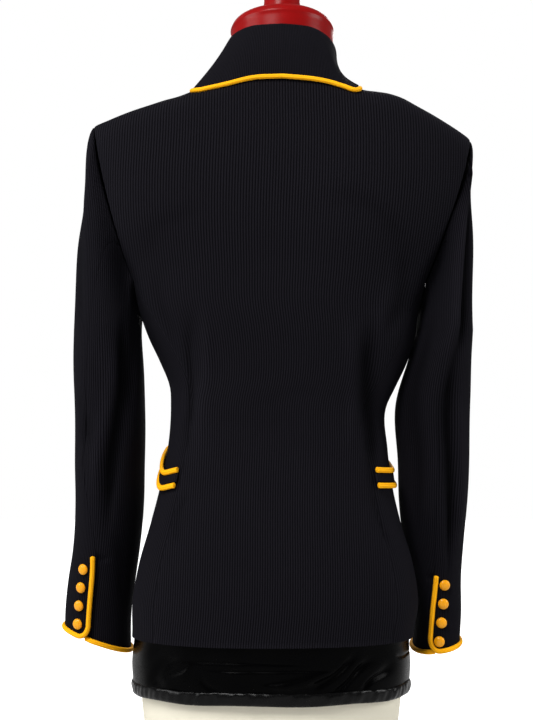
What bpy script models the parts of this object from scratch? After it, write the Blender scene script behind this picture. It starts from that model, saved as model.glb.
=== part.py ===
# A fitted rib-knit blazer with yellow piping, worn by a limbless dress form.
# Metres, +Z up. The garment's front faces -Y and its back +Y; the wearer's left is +X.
# Heights in the tables are above the knit hem. At the end the whole object is stood
# with the middle of its underside on the origin.

import math

import bpy
import numpy as np
from mathutils import Matrix, Vector

OBJECT_NAME = "blazer_on_dress_form"

# Cloth and gaps
KNIT_WALL = 0.0022
SATIN_WALL = 0.0012
SEAM_GAP = 0.0004
LAYER_GAP = 0.0005
PIPING_RADIUS = 0.0026
PIPING_SIDES = 2  # bevel resolution, which gives eight sides

# Body
HEM_HEIGHT = 0.0
SHOULDER_ROUND = 0.045  # how far below the shoulder line the cloth has turned vertical
NECK_HALF_WIDTH = 0.066
FRONT_OVERLAP = 0.020
BREAK_HEIGHT = 0.335  # where the lapel's roll line meets the front edge
UNDERARM_SAG = 0.024
SEAM_ROWS = 11  # rows of points from the hem to the underarm, the same on each panel
UPPER_ROWS = 6
TURN_ROWS = 6
LEAST_TURN = 0.010  # radians short of the shoulder line, where back and front nearly meet
BODY_COLUMNS = ("height", "half_width", "lean", "back", "front", "square", "back_edge", "front_edge")
BODY = (
    (-0.140, 0.1400, 0.0000, 0.100, 0.092, 2.3, 0.80, 0.78),
    (-0.056, 0.1505, 0.0000, 0.109, 0.099, 2.3, 0.80, 0.78),
    (-0.028, 0.1535, 0.0000, 0.113, 0.102, 2.3, 0.80, 0.78),
    (0.000, 0.1515, -0.0010, 0.115, 0.103, 2.3, 0.80, 0.78),
    (0.033, 0.1546, -0.0040, 0.116, 0.105, 2.3, 0.80, 0.78),
    (0.075, 0.1490, -0.0050, 0.112, 0.105, 2.3, 0.80, 0.78),
    (0.118, 0.1371, -0.0050, 0.103, 0.102, 2.3, 0.80, 0.78),
    (0.156, 0.1283, -0.0055, 0.094, 0.097, 2.3, 0.80, 0.78),
    (0.200, 0.1218, -0.0070, 0.087, 0.093, 2.3, 0.80, 0.78),
    (0.248, 0.1204, -0.0085, 0.085, 0.094, 2.3, 0.80, 0.78),
    (0.267, 0.1256, -0.0128, 0.086, 0.098, 2.3, 0.81, 0.785),
    (0.298, 0.1390, -0.0145, 0.089, 0.106, 2.35, 0.84, 0.805),
    (0.323, 0.1490, -0.0128, 0.093, 0.113, 2.4, 0.87, 0.825),
    (0.350, 0.1555, -0.0095, 0.097, 0.120, 2.5, 0.92, 0.87),
    (0.385, 0.1660, -0.0100, 0.101, 0.125, 2.6, 0.975, 0.92),
    (0.436, 0.1880, -0.0108, 0.106, 0.124, 2.9, 0.959, 0.90),
    (0.490, 0.2050, -0.0128, 0.105, 0.108, 3.0, 0.963, 0.93),
    (0.535, 0.2180, -0.0140, 0.097, 0.094, 3.0, 0.958, 0.958),
    (0.576, 0.2260, -0.0138, 0.086, 0.080, 3.0, 0.958, 0.958),
    (0.620, 0.2280, -0.0138, 0.073, 0.066, 3.0, 0.958, 0.958),
    (0.660, 0.2280, -0.0138, 0.066, 0.060, 3.0, 0.958, 0.958),
)
UNDERARM_BACK = 0.385  # heights at which the side panel's two seams meet the armhole
UNDERARM_FRONT = 0.398

SHOULDER_COLUMNS = ("across", "left", "right")
SHOULDER = (
    (0.000, 0.6500, 0.6500),
    (0.030, 0.6385, 0.6390),
    (0.060, 0.6235, 0.6230),
    (0.090, 0.6110, 0.6075),
    (0.105, 0.6040, 0.6055),
    (0.118, 0.5990, 0.6035),
    (0.131, 0.5958, 0.5993),
    (0.149, 0.5905, 0.5895),
    (0.167, 0.5855, 0.5800),
    (0.184, 0.5803, 0.5706),
    (0.200, 0.5752, 0.5620),
    (0.216, 0.5710, 0.5535),
    (0.240, 0.5620, 0.5380),
)

# Sleeves: round angle 0 outermost, 90 towards the back, 180 against the body
CAP_SHARE = 0.35  # the part of the sleeve's length that the cap takes
CAP_END = 0.330
SLEEVE_SQUARE = 2.2
SLEEVE_RADIUS = 0.045  # the mean radius, which turns lengths round a sleeve into angles
FRONT_SEAM = 250.0
SLEEVE_COLUMNS = ("height", "x", "y", "half_x", "half_y")
SLEEVES = {
    "left": (
        (0.330, 0.1825, 0.002, 0.0378, 0.0620),
        (0.290, 0.1808, 0.001, 0.0392, 0.0600),
        (0.255, 0.1803, -0.002, 0.0392, 0.0570),
        (0.188, 0.1799, -0.008, 0.0391, 0.0540),
        (0.144, 0.1797, -0.014, 0.0384, 0.0520),
        (0.089, 0.1842, -0.024, 0.0375, 0.0500),
        (0.055, 0.1887, -0.030, 0.0378, 0.0490),
        (0.020, 0.1925, -0.036, 0.0372, 0.0480),
        (-0.030, 0.1935, -0.041, 0.0365, 0.0470),
    ),
    "right": (
        (0.330, -0.1940, 0.002, 0.0312, 0.0640),
        (0.300, -0.1880, 0.001, 0.0350, 0.0610),
        (0.255, -0.1815, -0.002, 0.0412, 0.0570),
        (0.188, -0.1815, -0.008, 0.0398, 0.0540),
        (0.144, -0.1808, -0.014, 0.0382, 0.0520),
        (0.100, -0.1824, -0.026, 0.0338, 0.0510),
        (0.055, -0.1858, -0.038, 0.0274, 0.0505),
        (0.020, -0.1868, -0.044, 0.0264, 0.0500),
        (-0.030, -0.1850, -0.048, 0.0255, 0.0490),
    ),
}
# The elbow seam's round angle along the sleeve, 0 at the armhole and 1 at the cuff
SEAM_COLUMNS = ("along", "left", "right")
ELBOW_SEAM = (
    (0.00, 118.0, 112.0),
    (0.20, 92.0, 100.0),
    (0.35, 72.0, 95.0),
    (0.50, 63.0, 94.0),
    (0.70, 60.0, 94.0),
    (0.83, 85.0, 102.0),
    (0.92, 88.0, 114.0),
    (1.00, 88.0, 120.0),
)
# The cuff's edge: mean height, how much higher it is outside, and at the back
CUFF = {"left": (-0.008, 0.014, 0.0), "right": (-0.015, 0.005, -0.004)}
VENT_TOP = {"left": 0.083, "right": 0.062}
VENT_CORNER = 0.016
# The largest folds of each sleeve, as troughs from one place to another
FOLD_COLUMNS = ("from_height", "from_angle", "to_height", "to_angle", "width", "depth")
FOLDS = {
    "left": (
        (0.320, 128.0, 0.130, 98.0, 0.010, 0.0055),
        (0.470, 20.0, 0.330, 60.0, 0.012, 0.0030),
    ),
    "right": (
        (0.480, 40.0, 0.300, 72.0, 0.010, 0.0065),
        (0.290, 78.0, 0.080, 76.0, 0.008, 0.0045),
    ),
}

# Under the shoulder pad's edge the sleeve falls in: depth, height and width
PAD_DENT = {"left": (0.0050, 0.488, 0.045), "right": (0.0070, 0.490, 0.045)}

# Collar: each row is a place round the neck, from the middle of the back to the front end
COLLAR_COLUMNS = ("round", "fold_x", "fold_y", "fold_height", "right_drop", "left_x", "left_turn",
                  "right_x", "right_turn")
COLLAR = (
    (0.000, 0.0000, 0.0660, 0.6670, 0.0000, 0.0000, 97.3, 0.0000, 97.3),
    (0.100, 0.0171, 0.0633, 0.6674, 0.0005, 0.0198, 88.9, 0.0175, 91.8),
    (0.200, 0.0330, 0.0585, 0.6680, 0.0015, 0.0396, 81.2, 0.0347, 85.9),
    (0.300, 0.0465, 0.0489, 0.6676, 0.0030, 0.0589, 75.1, 0.0507, 79.5),
    (0.400, 0.0570, 0.0345, 0.6668, 0.0045, 0.0773, 70.0, 0.0659, 75.0),
    (0.475, 0.0622, 0.0192, 0.6662, 0.0050, 0.0916, 64.0, 0.0765, 71.0),
    (0.550, 0.0650, 0.0020, 0.6650, 0.0050, 0.1035, 48.0, 0.0850, 54.0),
    (0.620, 0.0650, -0.0143, 0.6630, 0.0040, 0.1080, 10.0, 0.0905, 12.0),
    (0.700, 0.0620, -0.0330, 0.6560, 0.0030, 0.1075, -34.0, 0.0935, -34.0),
    (0.850, 0.0550, -0.0660, 0.6200, 0.0000, 0.0960, -82.0, 0.0910, -82.0),
    (1.000, 0.0500, -0.0905, 0.5665, 0.0000, 0.0830, -112.0, 0.0820, -112.0),
)
COLLAR_LEAN = -0.0119
COLLAR_LIFT = 0.0050
TRIM_REACH = 0.0045  # from the collar's edge out to the middle of its piping
BACK_BOW = 0.0026  # how far the fall swells behind the neck, and draws in over the right shoulder
RIGHT_BOW = -0.0075
COLLAR_PLACES = (0.00, 0.09, 0.18, 0.27, 0.35, 0.42, 0.475, 0.52, 0.555, 0.585, 0.615, 0.645, 0.68, 0.72,
                 0.77, 0.83, 0.91, 1.00)  # closer together where it passes over the shoulder
STAND_INSET = 0.0056
COLLAR_FOOT = 0.622
STAND_HEIGHT = 0.012  # the least that the stand reaches below the fold, before it tapers in front

# Lapel: from the break up to the gorge
LAPEL_TOP = 0.560
LAPEL_WIDTH = 0.060
ROLL_TOP_X = 0.047
ROLL_FOOT_X = 0.003

# Waist tabs: places round the body and their rise towards the front
TAB_FOOT = 0.1622
TAB_WIDTH = 0.0092
TAB_REACH = 0.30  # how far in front of the side it ends, as a share of a quarter turn
TAB_COLUMNS = ("along", "rise")
TAB = ((0.0, 0.000), (0.4, 0.000), (0.6, 0.010), (0.8, 0.030), (1.0, 0.048))

# Satin lining, where it hangs below the knit
LINING_TOP = 0.020
LINING_INSET = 0.0040
LINING_EDGE = -0.0575
LINING_TURN = 0.0125
LINING_COLUMNS = 36

# Buttons
SLEEVE_BUTTON = 0.0058
FRONT_BUTTON = 0.0085
BUTTON_SIDES = 12
RIM_SHARE = 0.18  # heights as shares of the radius
DOME_SHARE = 0.52
SLEEVE_BUTTONS = {"left": (0.0699, -0.0195, 67.0, 67.0), "right": (0.0528, -0.0202, 87.0, 97.0)}
FRONT_BUTTON_HEIGHTS = (0.290, 0.215, 0.140)

# Dress form, as half width, back depth and front depth
FORM_EASE = 0.011
FORM_FOOT = -0.130
FORM_SIDES = 28
FORM_COLUMNS = ("height", "half_width", "back", "front", "lean")
FORM_SHOULDERS = (
    (0.360, 0.1420, 0.084, 0.104, -0.0097),
    (0.420, 0.1450, 0.088, 0.104, -0.0105),
    (0.480, 0.1500, 0.086, 0.090, -0.0125),
    (0.530, 0.1500, 0.076, 0.074, -0.0140),
    (0.560, 0.1380, 0.068, 0.066, -0.0138),
    (0.580, 0.1120, 0.062, 0.058, -0.0134),
    (0.594, 0.0820, 0.056, 0.052, -0.0134),
    (0.606, 0.0600, 0.051, 0.050, -0.0134),
    (0.622, 0.0515, 0.048, 0.048, -0.0134),
    (0.650, 0.0500, 0.047, 0.048, -0.0134),
)
CAP_FOOT = 0.6503
# Turned profiles, as radius and height above the piece's foot, from the top down
CAP_GAP = 0.0003
NECK_CAP = (
    (0.0000, 0.0500), (0.0300, 0.0496), (0.0460, 0.0482), (0.0545, 0.0455), (0.0588, 0.0412),
    (0.0606, 0.0360), (0.0590, 0.0335), (0.0574, 0.0315), (0.0574, 0.0000), (0.0000, 0.0000),
)
KNOB = (
    (0.0000, 0.0560), (0.0120, 0.0545), (0.0190, 0.0500), (0.0225, 0.0430), (0.0222, 0.0360),
    (0.0212, 0.0300), (0.0212, 0.0240), (0.0222, 0.0160), (0.0230, 0.0000),
    (0.0000, 0.0000),
)
CAP_CENTRE = (-0.0134, 0.0)

COLOURS = {
    "black_knit": ((0.012, 0.012, 0.016), 0.85),
    "black_satin": ((0.010, 0.010, 0.012), 0.35),
    "yellow_knit": ((0.80, 0.40, 0.015), 0.75),
    "yellow_button": ((0.82, 0.35, 0.015), 0.22),
    "cream_linen": ((0.62, 0.57, 0.46), 0.85),
    "red_lacquer": ((0.30, 0.010, 0.010), 0.15),
}
SIGN = {"left": 1.0, "right": -1.0}


def column(columns, rows, name, at):
    """A table's column at any value of its first column, along a smooth curve through its rows."""
    table = np.array(sorted(rows))
    x = table[:, 0]
    y = table[:, columns.index(name)]
    slope = np.gradient(y, x)
    at = np.clip(np.asarray(at, float), x[0], x[-1])
    i = np.clip(np.searchsorted(x, at) - 1, 0, len(x) - 2)
    span = x[i + 1] - x[i]
    t = (at - x[i]) / span
    rising = t * t * (3 - 2 * t)
    return (
        y[i] * (1 - rising)
        + y[i + 1] * rising
        + span * slope[i] * t * (1 - t) ** 2
        - span * slope[i + 1] * t * t * (1 - t)
    )


def body(name, height):
    return column(BODY_COLUMNS, BODY, name, height)


def shoulder_line(across):
    """The height of the shoulder line, at a signed distance from the neck's middle."""
    left = column(SHOULDER_COLUMNS, SHOULDER, "left", np.abs(across))
    right = column(SHOULDER_COLUMNS, SHOULDER, "right", np.abs(across))
    return np.where(np.asarray(across) > 0, left, right)


def body_point(angle, height):
    """The jacket's outer surface: a rounded-square section, turned over at the shoulder line."""
    power = 2 / body("square", height)
    across = body("half_width", height) * np.sign(np.sin(angle)) * np.abs(np.sin(angle)) ** power
    depth = np.where(np.cos(angle) > 0, body("back", height), body("front", height))
    drop = np.clip((shoulder_line(across) - height) / SHOULDER_ROUND, 0, 1)
    y = depth * np.sign(np.cos(angle)) * np.abs(np.cos(angle)) ** power
    y = y * np.sqrt(np.clip(1 - (1 - drop) ** 2, 0, 1))
    return np.stack([across + body("lean", height), y, height + 0 * y], axis=-1)


def angle_at(across, height, front=False):
    """The round angle whose section point lies this far across."""
    share = np.clip(np.abs(across) / body("half_width", height), 0, 1)
    angle = np.arcsin(share ** (body("square", height) / 2))
    return np.where(across < 0, -1, 1) * ((np.pi - angle) if front else angle)


def lifted(point, first, second, lift):
    """The surface point(first, second), moved out along its normal."""
    step = 1e-4
    along = point(first + step, second) - point(first - step, second)
    up = point(first, second + step) - point(first, second - step)
    normal = np.cross(up, along)
    normal /= np.linalg.norm(normal, axis=-1, keepdims=True) + 1e-12
    return point(first, second) + normal * np.asarray(lift)[..., None]


def body_lifted(angle, height, lift):
    return lifted(body_point, angle, height, lift)


def shoulder_point(across, turn):
    """A point near the shoulder line: turn is 0 on it, positive degrees behind it, negative before."""
    turn = np.radians(turn)
    over = np.clip(np.abs(turn) - np.pi / 2, 0, None)
    drop = SHOULDER_ROUND * (1 - np.cos(np.clip(turn, -np.pi / 2, np.pi / 2)) + over)
    height = shoulder_line(across) - drop
    depth = np.where(turn > 0, body("back", height), body("front", height))
    share = np.clip(np.abs(across) / body("half_width", height), 0, 1)
    square = body("square", height)
    y = depth * (1 - share ** square) ** (1 / square) * np.sin(np.clip(turn, -np.pi / 2, np.pi / 2))
    return np.stack([across + body("lean", height), y, height], axis=-1)


def tip_height(side):
    """Where the armhole's edge meets the shoulder line."""
    height = 0.56
    for _ in range(12):
        across = body("half_width", height) * body("back_edge", height)
        height = float(shoulder_line(SIGN[side] * across))
    return height


def edge_across(edge, height):
    return body("half_width", height) * body(edge, height)


def body_core(points):
    """The middle of the body, at the height of each point."""
    height = points[..., 2]
    return np.stack([body("lean", height), 0 * height, height], axis=-1)


def spread(start, end, count, rim=0.0012, width=0.1):
    """Even places from seam to seam, with one more just inside each seam."""
    even = np.linspace(start, end, count)
    inset = (end - start) * rim / width
    return np.concatenate([[start, start + inset], even[1:-1], [end - inset, end]])


def smooth_step(value, start, end):
    share = np.clip((value - start) / (end - start), 0, 1)
    return share * share * (3 - 2 * share)


# Making objects


def material(name):
    made = bpy.data.materials.get(name)
    if made:
        return made
    colour, roughness = COLOURS[name]
    made = bpy.data.materials.new(name)
    made.use_nodes = True
    shader = made.node_tree.nodes["Principled BSDF"]
    shader.inputs["Base Color"].default_value = (*colour, 1.0)
    shader.inputs["Roughness"].default_value = roughness
    made.diffuse_color = (*colour, 1.0)
    return made


def place(obj, slot):
    obj.data.materials.append(material(slot))
    bpy.data.collections[OBJECT_NAME].objects.link(obj)
    obj.parent = bpy.data.objects["stand_point"]
    return obj


def grid_faces(rows, columns, closed=False):
    across = columns if closed else columns - 1
    return [
        (r * columns + c, r * columns + (c + 1) % columns,
         (r + 1) * columns + (c + 1) % columns, (r + 1) * columns + c)
        for r in range(rows - 1)
        for c in range(across)
    ]


def cloth(name, points, slot, core, wall=KNIT_WALL, closed=False):
    """A wall of cloth under a grid of points, whose faces look away from the core."""
    across = points[:-1, 1:] - points[:-1, :-1]
    up = points[1:, :-1] - points[:-1, :-1]
    if np.sum(np.cross(across, up) * (points - core)[:-1, :-1]) < 0:
        points = points[:, ::-1]
    rows, columns = points.shape[:2]
    mesh = bpy.data.meshes.new(name)
    mesh.from_pydata(points.reshape(-1, 3).tolist(), [], grid_faces(rows, columns, closed))
    mesh.shade_smooth()
    obj = place(bpy.data.objects.new(name, mesh), slot)
    shell = obj.modifiers.new("wall", "SOLIDIFY")
    shell.thickness = wall
    shell.offset = -1
    shell.use_even_offset = False
    return obj


def loft(name, rings, slot):
    """A closed body through rings of equal count, from the lowest up."""
    rows, columns = rings.shape[:2]
    faces = grid_faces(rows, columns, closed=True)
    faces.append(tuple(reversed(range(columns))))
    faces.append(tuple(range((rows - 1) * columns, rows * columns)))
    mesh = bpy.data.meshes.new(name)
    mesh.from_pydata(rings.reshape(-1, 3).tolist(), [], faces)
    mesh.shade_smooth()
    return place(bpy.data.objects.new(name, mesh), slot)


def tube(name, points, slot, radius=PIPING_RADIUS):
    curve = bpy.data.curves.new(name, "CURVE")
    curve.dimensions = "3D"
    curve.bevel_depth = radius
    curve.bevel_resolution = PIPING_SIDES
    curve.use_fill_caps = True
    spline = curve.splines.new("POLY")
    spline.points.add(len(points) - 1)
    spline.points.foreach_set("co", np.column_stack([points, np.ones(len(points))]).ravel())
    return place(bpy.data.objects.new(name, curve), slot)


def turned(name, profile, slot, steps, matrix):
    """A profile of radius and height, top down, screwed round and set in place."""
    mesh = bpy.data.meshes.new(name)
    points = [(radius, 0.0, height) for radius, height in profile]
    mesh.from_pydata(points, [(i, i + 1) for i in range(len(points) - 1)], [])
    obj = place(bpy.data.objects.new(name, mesh), slot)
    obj.matrix_local = matrix
    screw = obj.modifiers.new("turn", "SCREW")
    screw.steps = screw.render_steps = steps
    screw.use_merge_vertices = True
    screw.merge_threshold = 1e-5
    screw.use_smooth_shade = True
    return obj


def facing(point, normal):
    """A place whose local Z looks along the normal."""
    turn = Vector(normal).to_track_quat("Z", "Y").to_matrix().to_4x4()
    return Matrix.Translation(Vector(point)) @ turn


# Knit panels


def panel_rows(foot, top):
    """Rows of heights for columns that end below the shoulder line: level as far as the underarm."""
    level = [HEM_HEIGHT + (foot - HEM_HEIGHT) * part + 0 * top for part in np.linspace(0, 1, SEAM_ROWS)]
    above = [foot + (top - SHOULDER_ROUND - foot) * part for part in np.linspace(0, 1, UPPER_ROWS)]
    return level + above[1:]


def back_across(shares, height):
    """How far across each share of the back lies, from one armhole's edge to the other."""
    left, right = edge_across("back_edge", height[-1]), edge_across("back_edge", height[0])
    return shares * (np.where(shares > 0, left, right) - SEAM_GAP)


def back_panel():
    neck = NECK_HALF_WIDTH / edge_across("back_edge", tip_height("left"))
    round_neck = neck * np.sin(np.radians(np.linspace(-90, 90, 7)))
    outer = np.delete(spread(neck, 1, 6), 1)
    shares = np.concatenate([-outer[:0:-1], round_neck, outer[1:]])
    turn_at_neck = np.arccos(np.clip(np.abs(shares) / neck, 0, 1))
    tips = {side: edge_across("back_edge", tip_height(side)) for side in SIGN}
    top = shoulder_line(shares * np.where(shares > 0, tips["left"], tips["right"]))
    points = []
    for height in panel_rows(UNDERARM_BACK, top):
        points.append(body_point(angle_at(back_across(shares, height), height), height))
    for share in np.linspace(0, 1, TURN_ROWS)[1:]:
        turn = np.pi / 2 - (np.pi / 2 - np.maximum(turn_at_neck, LEAST_TURN)) * share
        height = top - SHOULDER_ROUND * (1 - np.cos(turn))
        points.append(shoulder_point(back_across(shares, height), np.degrees(turn)))
    points = np.array(points)
    cloth("back_panel", points, "black_knit", body_core(points))


def armhole_low(side, share):
    """Angle and height along the underarm, from the back seam at 0 to the front seam at 1."""
    height = UNDERARM_BACK + (UNDERARM_FRONT - UNDERARM_BACK) * share
    height = height - UNDERARM_SAG * 4 * share * (1 - share)
    back = np.abs(angle_at(edge_across("back_edge", height), height))
    front = np.abs(angle_at(edge_across("front_edge", height), height, front=True))
    return SIGN[side] * (back + (front - back) * share), height


def side_panel(side):
    shares = spread(0.006, 0.994, 7)
    _, top = armhole_low(side, shares)
    points = []
    for part in np.linspace(0, 1, SEAM_ROWS):
        height = HEM_HEIGHT + (top - HEM_HEIGHT) * part
        back = np.abs(angle_at(edge_across("back_edge", height), height))
        front = np.abs(angle_at(edge_across("front_edge", height), height, front=True))
        points.append(body_point(SIGN[side] * (back + (front - back) * shares), height))
    points = np.array(points)
    cloth(f"side_panel_{side}", points, "black_knit", body_core(points))


def roll_across(height):
    """How far the lapel's roll line is from the middle, at each height from break to neck."""
    share = np.clip((height - BREAK_HEIGHT) / (LAPEL_TOP - BREAK_HEIGHT), 0, 1.4)
    return ROLL_FOOT_X + (ROLL_TOP_X - ROLL_FOOT_X) * share ** 0.92


def overlap_lift(side, across):
    """The wearer's right front lies on the left one where they cross."""
    if side == "left":
        return 0 * across
    return (KNIT_WALL + 2 * LAYER_GAP) * (1 - smooth_step(across, 0.030, 0.065))


def front_inner(height):
    """The front's inner edge, as a distance towards its own side: negative is past the middle."""
    below = -FRONT_OVERLAP + 0 * height
    above = roll_across(height) + SEAM_GAP + 0.007 * smooth_step(height, LAPEL_TOP + 0.002, LAPEL_TOP + 0.020)
    blend = smooth_step(height, BREAK_HEIGHT - 0.030, BREAK_HEIGHT + 0.010)
    return below * (1 - blend) + above * blend


def front_point(side, across, height, lift):
    """A point on the front at a distance towards its own side, moved out by the lift."""
    angle = angle_at(np.abs(across), height, front=True)
    angle = np.where(across >= 0, angle, 2 * np.pi - angle) * SIGN[side]
    return body_lifted(angle, height, lift)


def front_panel(side):
    tip = tip_height(side)
    tip_across = edge_across("back_edge", tip)
    outer = spread(0, 1, 10, width=0.12)
    top_across = NECK_HALF_WIDTH + (tip_across - NECK_HALF_WIDTH) * outer
    top = shoulder_line(SIGN[side] * top_across)
    points = []
    for height in panel_rows(UNDERARM_FRONT, top):
        inner = front_inner(height[0])
        edge = edge_across("front_edge", height[-1]) - SEAM_GAP
        across = inner + (edge - inner) * outer
        points.append(front_point(side, across, height, overlap_lift(side, across)))
    for turn in np.linspace(np.pi / 2, LEAST_TURN, TURN_ROWS)[1:]:
        height = top - SHOULDER_ROUND * (1 - math.cos(turn))
        inner = front_inner(height[0])
        inner = inner + (NECK_HALF_WIDTH - inner) * (1 - math.sin(turn))
        edge = edge_across("front_edge", height[-1]) - SEAM_GAP
        points.append(shoulder_point(SIGN[side] * (inner + (edge - inner) * outer), -math.degrees(turn)))
    points = np.array(points)
    cloth(f"front_{side}", points, "black_knit", body_core(points))


def lapel_edge(height):
    """The lapel's outer edge, as a distance from its roll line."""
    share = np.clip((height - BREAK_HEIGHT) / (LAPEL_TOP - BREAK_HEIGHT), 0, 1)
    return 0.004 + (LAPEL_WIDTH - 0.004) * np.sin(share * 1.45) ** 0.9


def lapel_point(side, share, height, lift):
    """Across the lapel from its roll line at 0 to its edge at 1."""
    across = roll_across(height) + SEAM_GAP + lapel_edge(height) * share
    low = 0.020 * share * smooth_step(height, LAPEL_TOP - 0.120, LAPEL_TOP)
    billow = 0.0022 * np.sin(np.pi * np.clip(share, 0, 1))
    return front_point(side, across, height - low, overlap_lift(side, across) + lift + billow)


def lapel(side):
    share, height = np.meshgrid(np.linspace(0, 1, 5), np.linspace(BREAK_HEIGHT + 0.012, LAPEL_TOP, 11))
    points = lapel_point(side, share, height, KNIT_WALL + 2 * LAYER_GAP)
    cloth(f"lapel_{side}", points, "black_knit", body_core(points))
    edge = np.linspace(LAPEL_TOP - 0.004, BREAK_HEIGHT + 0.016, 10)
    lift = KNIT_WALL + 5 * LAYER_GAP + PIPING_RADIUS
    rim = lapel_point(side, 1 - 0.05 + 0 * edge, edge, lift)
    straight = np.linspace(BREAK_HEIGHT - 0.034, HEM_HEIGHT + 0.003, 9)
    across = front_inner(straight) + 0.003
    down = front_point(side, across, straight, overlap_lift(side, across) + PIPING_RADIUS + 2 * LAYER_GAP)
    if side == "left":
        tube("lapel_piping_left", rim, "yellow_knit")
    else:
        tube("lapel_piping_right", np.concatenate([rim, down]), "yellow_knit")


# Sleeves


def armhole(side):
    """The armhole's edge as two runs from the shoulder tip to the underarm, back and front."""
    tip = tip_height(side)
    runs = []
    for edge, front, foot, shares in (
        ("back_edge", False, UNDERARM_BACK, np.linspace(0, 0.5, 12)),
        ("front_edge", True, UNDERARM_FRONT, np.linspace(1, 0.5, 12)),
    ):
        turn = np.linspace(0.004, np.pi / 2, 14)
        height = np.concatenate([tip - SHOULDER_ROUND * (1 - np.cos(turn)),
                                 np.linspace(tip - SHOULDER_ROUND, foot, 14)[1:]])
        across = SIGN[side] * edge_across(edge, height)
        upper = body_point(angle_at(across, height, front), height)
        angle, low = armhole_low(side, shares)
        runs.append(np.concatenate([upper, body_point(angle, low)[1:]]))
    return runs


def armhole_at(side, degrees):
    """The armhole's edge at a round angle, spaced by length."""
    back, front = armhole(side)
    degrees = np.mod(degrees, 360.0)
    made = []
    for run, share in ((back, degrees / 180), (front, (360 - degrees) / 180)):
        length = np.concatenate([[0], np.cumsum(np.linalg.norm(np.diff(run, axis=0), axis=1))])
        at = np.clip(share, 0, 1) * length[-1]
        made.append(np.stack([np.interp(at, length, run[:, i]) for i in range(3)], axis=-1))
    return np.where((degrees <= 180)[..., None], made[0], made[1])


def sleeve_ring(side, degrees, height):
    """The sleeve's section at a height: a rounded square."""
    size = {n: column(SLEEVE_COLUMNS, SLEEVES[side], n, height) for n in SLEEVE_COLUMNS[1:]}
    turn = np.radians(degrees)
    power = 2 / SLEEVE_SQUARE
    x = size["x"] + SIGN[side] * size["half_x"] * np.sign(np.cos(turn)) * np.abs(np.cos(turn)) ** power
    y = size["y"] + size["half_y"] * np.sign(np.sin(turn)) * np.abs(np.sin(turn)) ** power
    return np.stack([x, y, height + 0 * x], axis=-1)


def cuff_edge(side, degrees):
    mean, outside, back = CUFF[side]
    return mean + outside * np.cos(np.radians(degrees)) + back * np.sin(np.radians(degrees))


def sleeve_height(side, degrees, along):
    """The height on the sleeve below its cap."""
    share = (along - CAP_SHARE) / (1 - CAP_SHARE)
    return CAP_END + (cuff_edge(side, degrees) - CAP_END) * share


def sleeve_smooth(side, degrees, along):
    """The sleeve with no folds: a cap that leaves the armhole outwards and turns down, then rings."""
    start = armhole_at(side, degrees)
    end = sleeve_ring(side, degrees, CAP_END + 0 * degrees)
    top = np.clip(np.cos(np.radians(degrees)), 0, 1)
    low = np.clip(-np.cos(np.radians(degrees)), 0, 1)
    out = np.stack([SIGN[side] * (0.9 + 0 * top), 0.25 * np.sin(np.radians(degrees)), -0.30 + 0 * top], -1)
    start = start + 0.0012 * out
    out = out * (0.004 + 0.018 * (1 - low) - 0.004 * top)[..., None]
    up = np.stack([0 * top, 0 * top, 0.006 + 0.034 * (1 - low) + 0.070 * top], -1)
    t = np.clip(along / CAP_SHARE, 0, 1)[..., None]
    cap = ((1 - t) ** 3 * start + 3 * t * (1 - t) ** 2 * (start + out)
           + 3 * t * t * (1 - t) * (end + up) + t ** 3 * end)
    below = sleeve_ring(side, degrees, sleeve_height(side, degrees, np.maximum(along, CAP_SHARE)))
    return np.where((along < CAP_SHARE)[..., None], cap, below)


def fold_depth(side, degrees, height):
    """How deep the folds press in at a place: soft troughs that fade at their ends."""
    total = 0 * height
    for row in FOLDS[side]:
        fold = dict(zip(FOLD_COLUMNS, row))
        share = (height - fold["from_height"]) / (fold["to_height"] - fold["from_height"])
        middle = fold["from_angle"] + (fold["to_angle"] - fold["from_angle"]) * np.clip(share, 0, 1)
        aside = np.radians(np.mod(degrees - middle + 180, 360) - 180) * SLEEVE_RADIUS
        fade = smooth_step(share, -0.1, 0.25) * (1 - smooth_step(share, 0.75, 1.1))
        total = total + fold["depth"] * fade * np.exp(-((aside / fold["width"]) ** 2))
    depth, middle, width = PAD_DENT[side]
    outer = np.clip(np.cos(np.radians(degrees)), 0, 1)
    return total + depth * outer * np.exp(-(((height - middle) / width) ** 2))


def sleeve_point(side, degrees, along, lift=0.0):
    degrees = np.asarray(degrees, float)
    along = np.asarray(along, float)

    def surface(first, second):
        return sleeve_smooth(side, np.degrees(first) * SIGN[side], second)

    flat = sleeve_smooth(side, degrees, along)
    out = lifted(surface, np.radians(degrees) * SIGN[side], np.clip(along, 0.002, 0.998),
                 0 * flat[..., 0] + 1.0) - sleeve_smooth(side, degrees, np.clip(along, 0.002, 0.998))
    return flat + out * (lift - fold_depth(side, degrees, flat[..., 2]))[..., None]


def elbow_seam(side, along):
    return column(SEAM_COLUMNS, ELBOW_SEAM, side, along)


def along_at(side, degrees, height):
    """The share of the sleeve's length at a height below the cap."""
    return CAP_SHARE + (1 - CAP_SHARE) * (CAP_END - height) / (CAP_END - cuff_edge(side, degrees))


def sleeve_panel(side, name, first, last, columns):
    """first and last give the panel's two seams as round angles, for each place along the sleeve."""
    cap = np.linspace(0.05, CAP_SHARE, 6)
    points = []
    gap = np.degrees(SEAM_GAP / SLEEVE_RADIUS)
    for along in np.concatenate([[0.004, 0.022], cap, np.linspace(CAP_SHARE, 1, 11)[1:]]):
        low, high = first(along) + gap, last(along) - gap
        degrees = spread(low, high, columns)
        points.append(sleeve_point(side, degrees, 0 * degrees + along))
    points = np.array(points)
    height = points[..., 2]
    middle = {n: column(SLEEVE_COLUMNS, SLEEVES[side], n, height) for n in ("x", "y")}
    cloth(name, points, "black_knit", np.stack([middle["x"], middle["y"], height], axis=-1))


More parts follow.
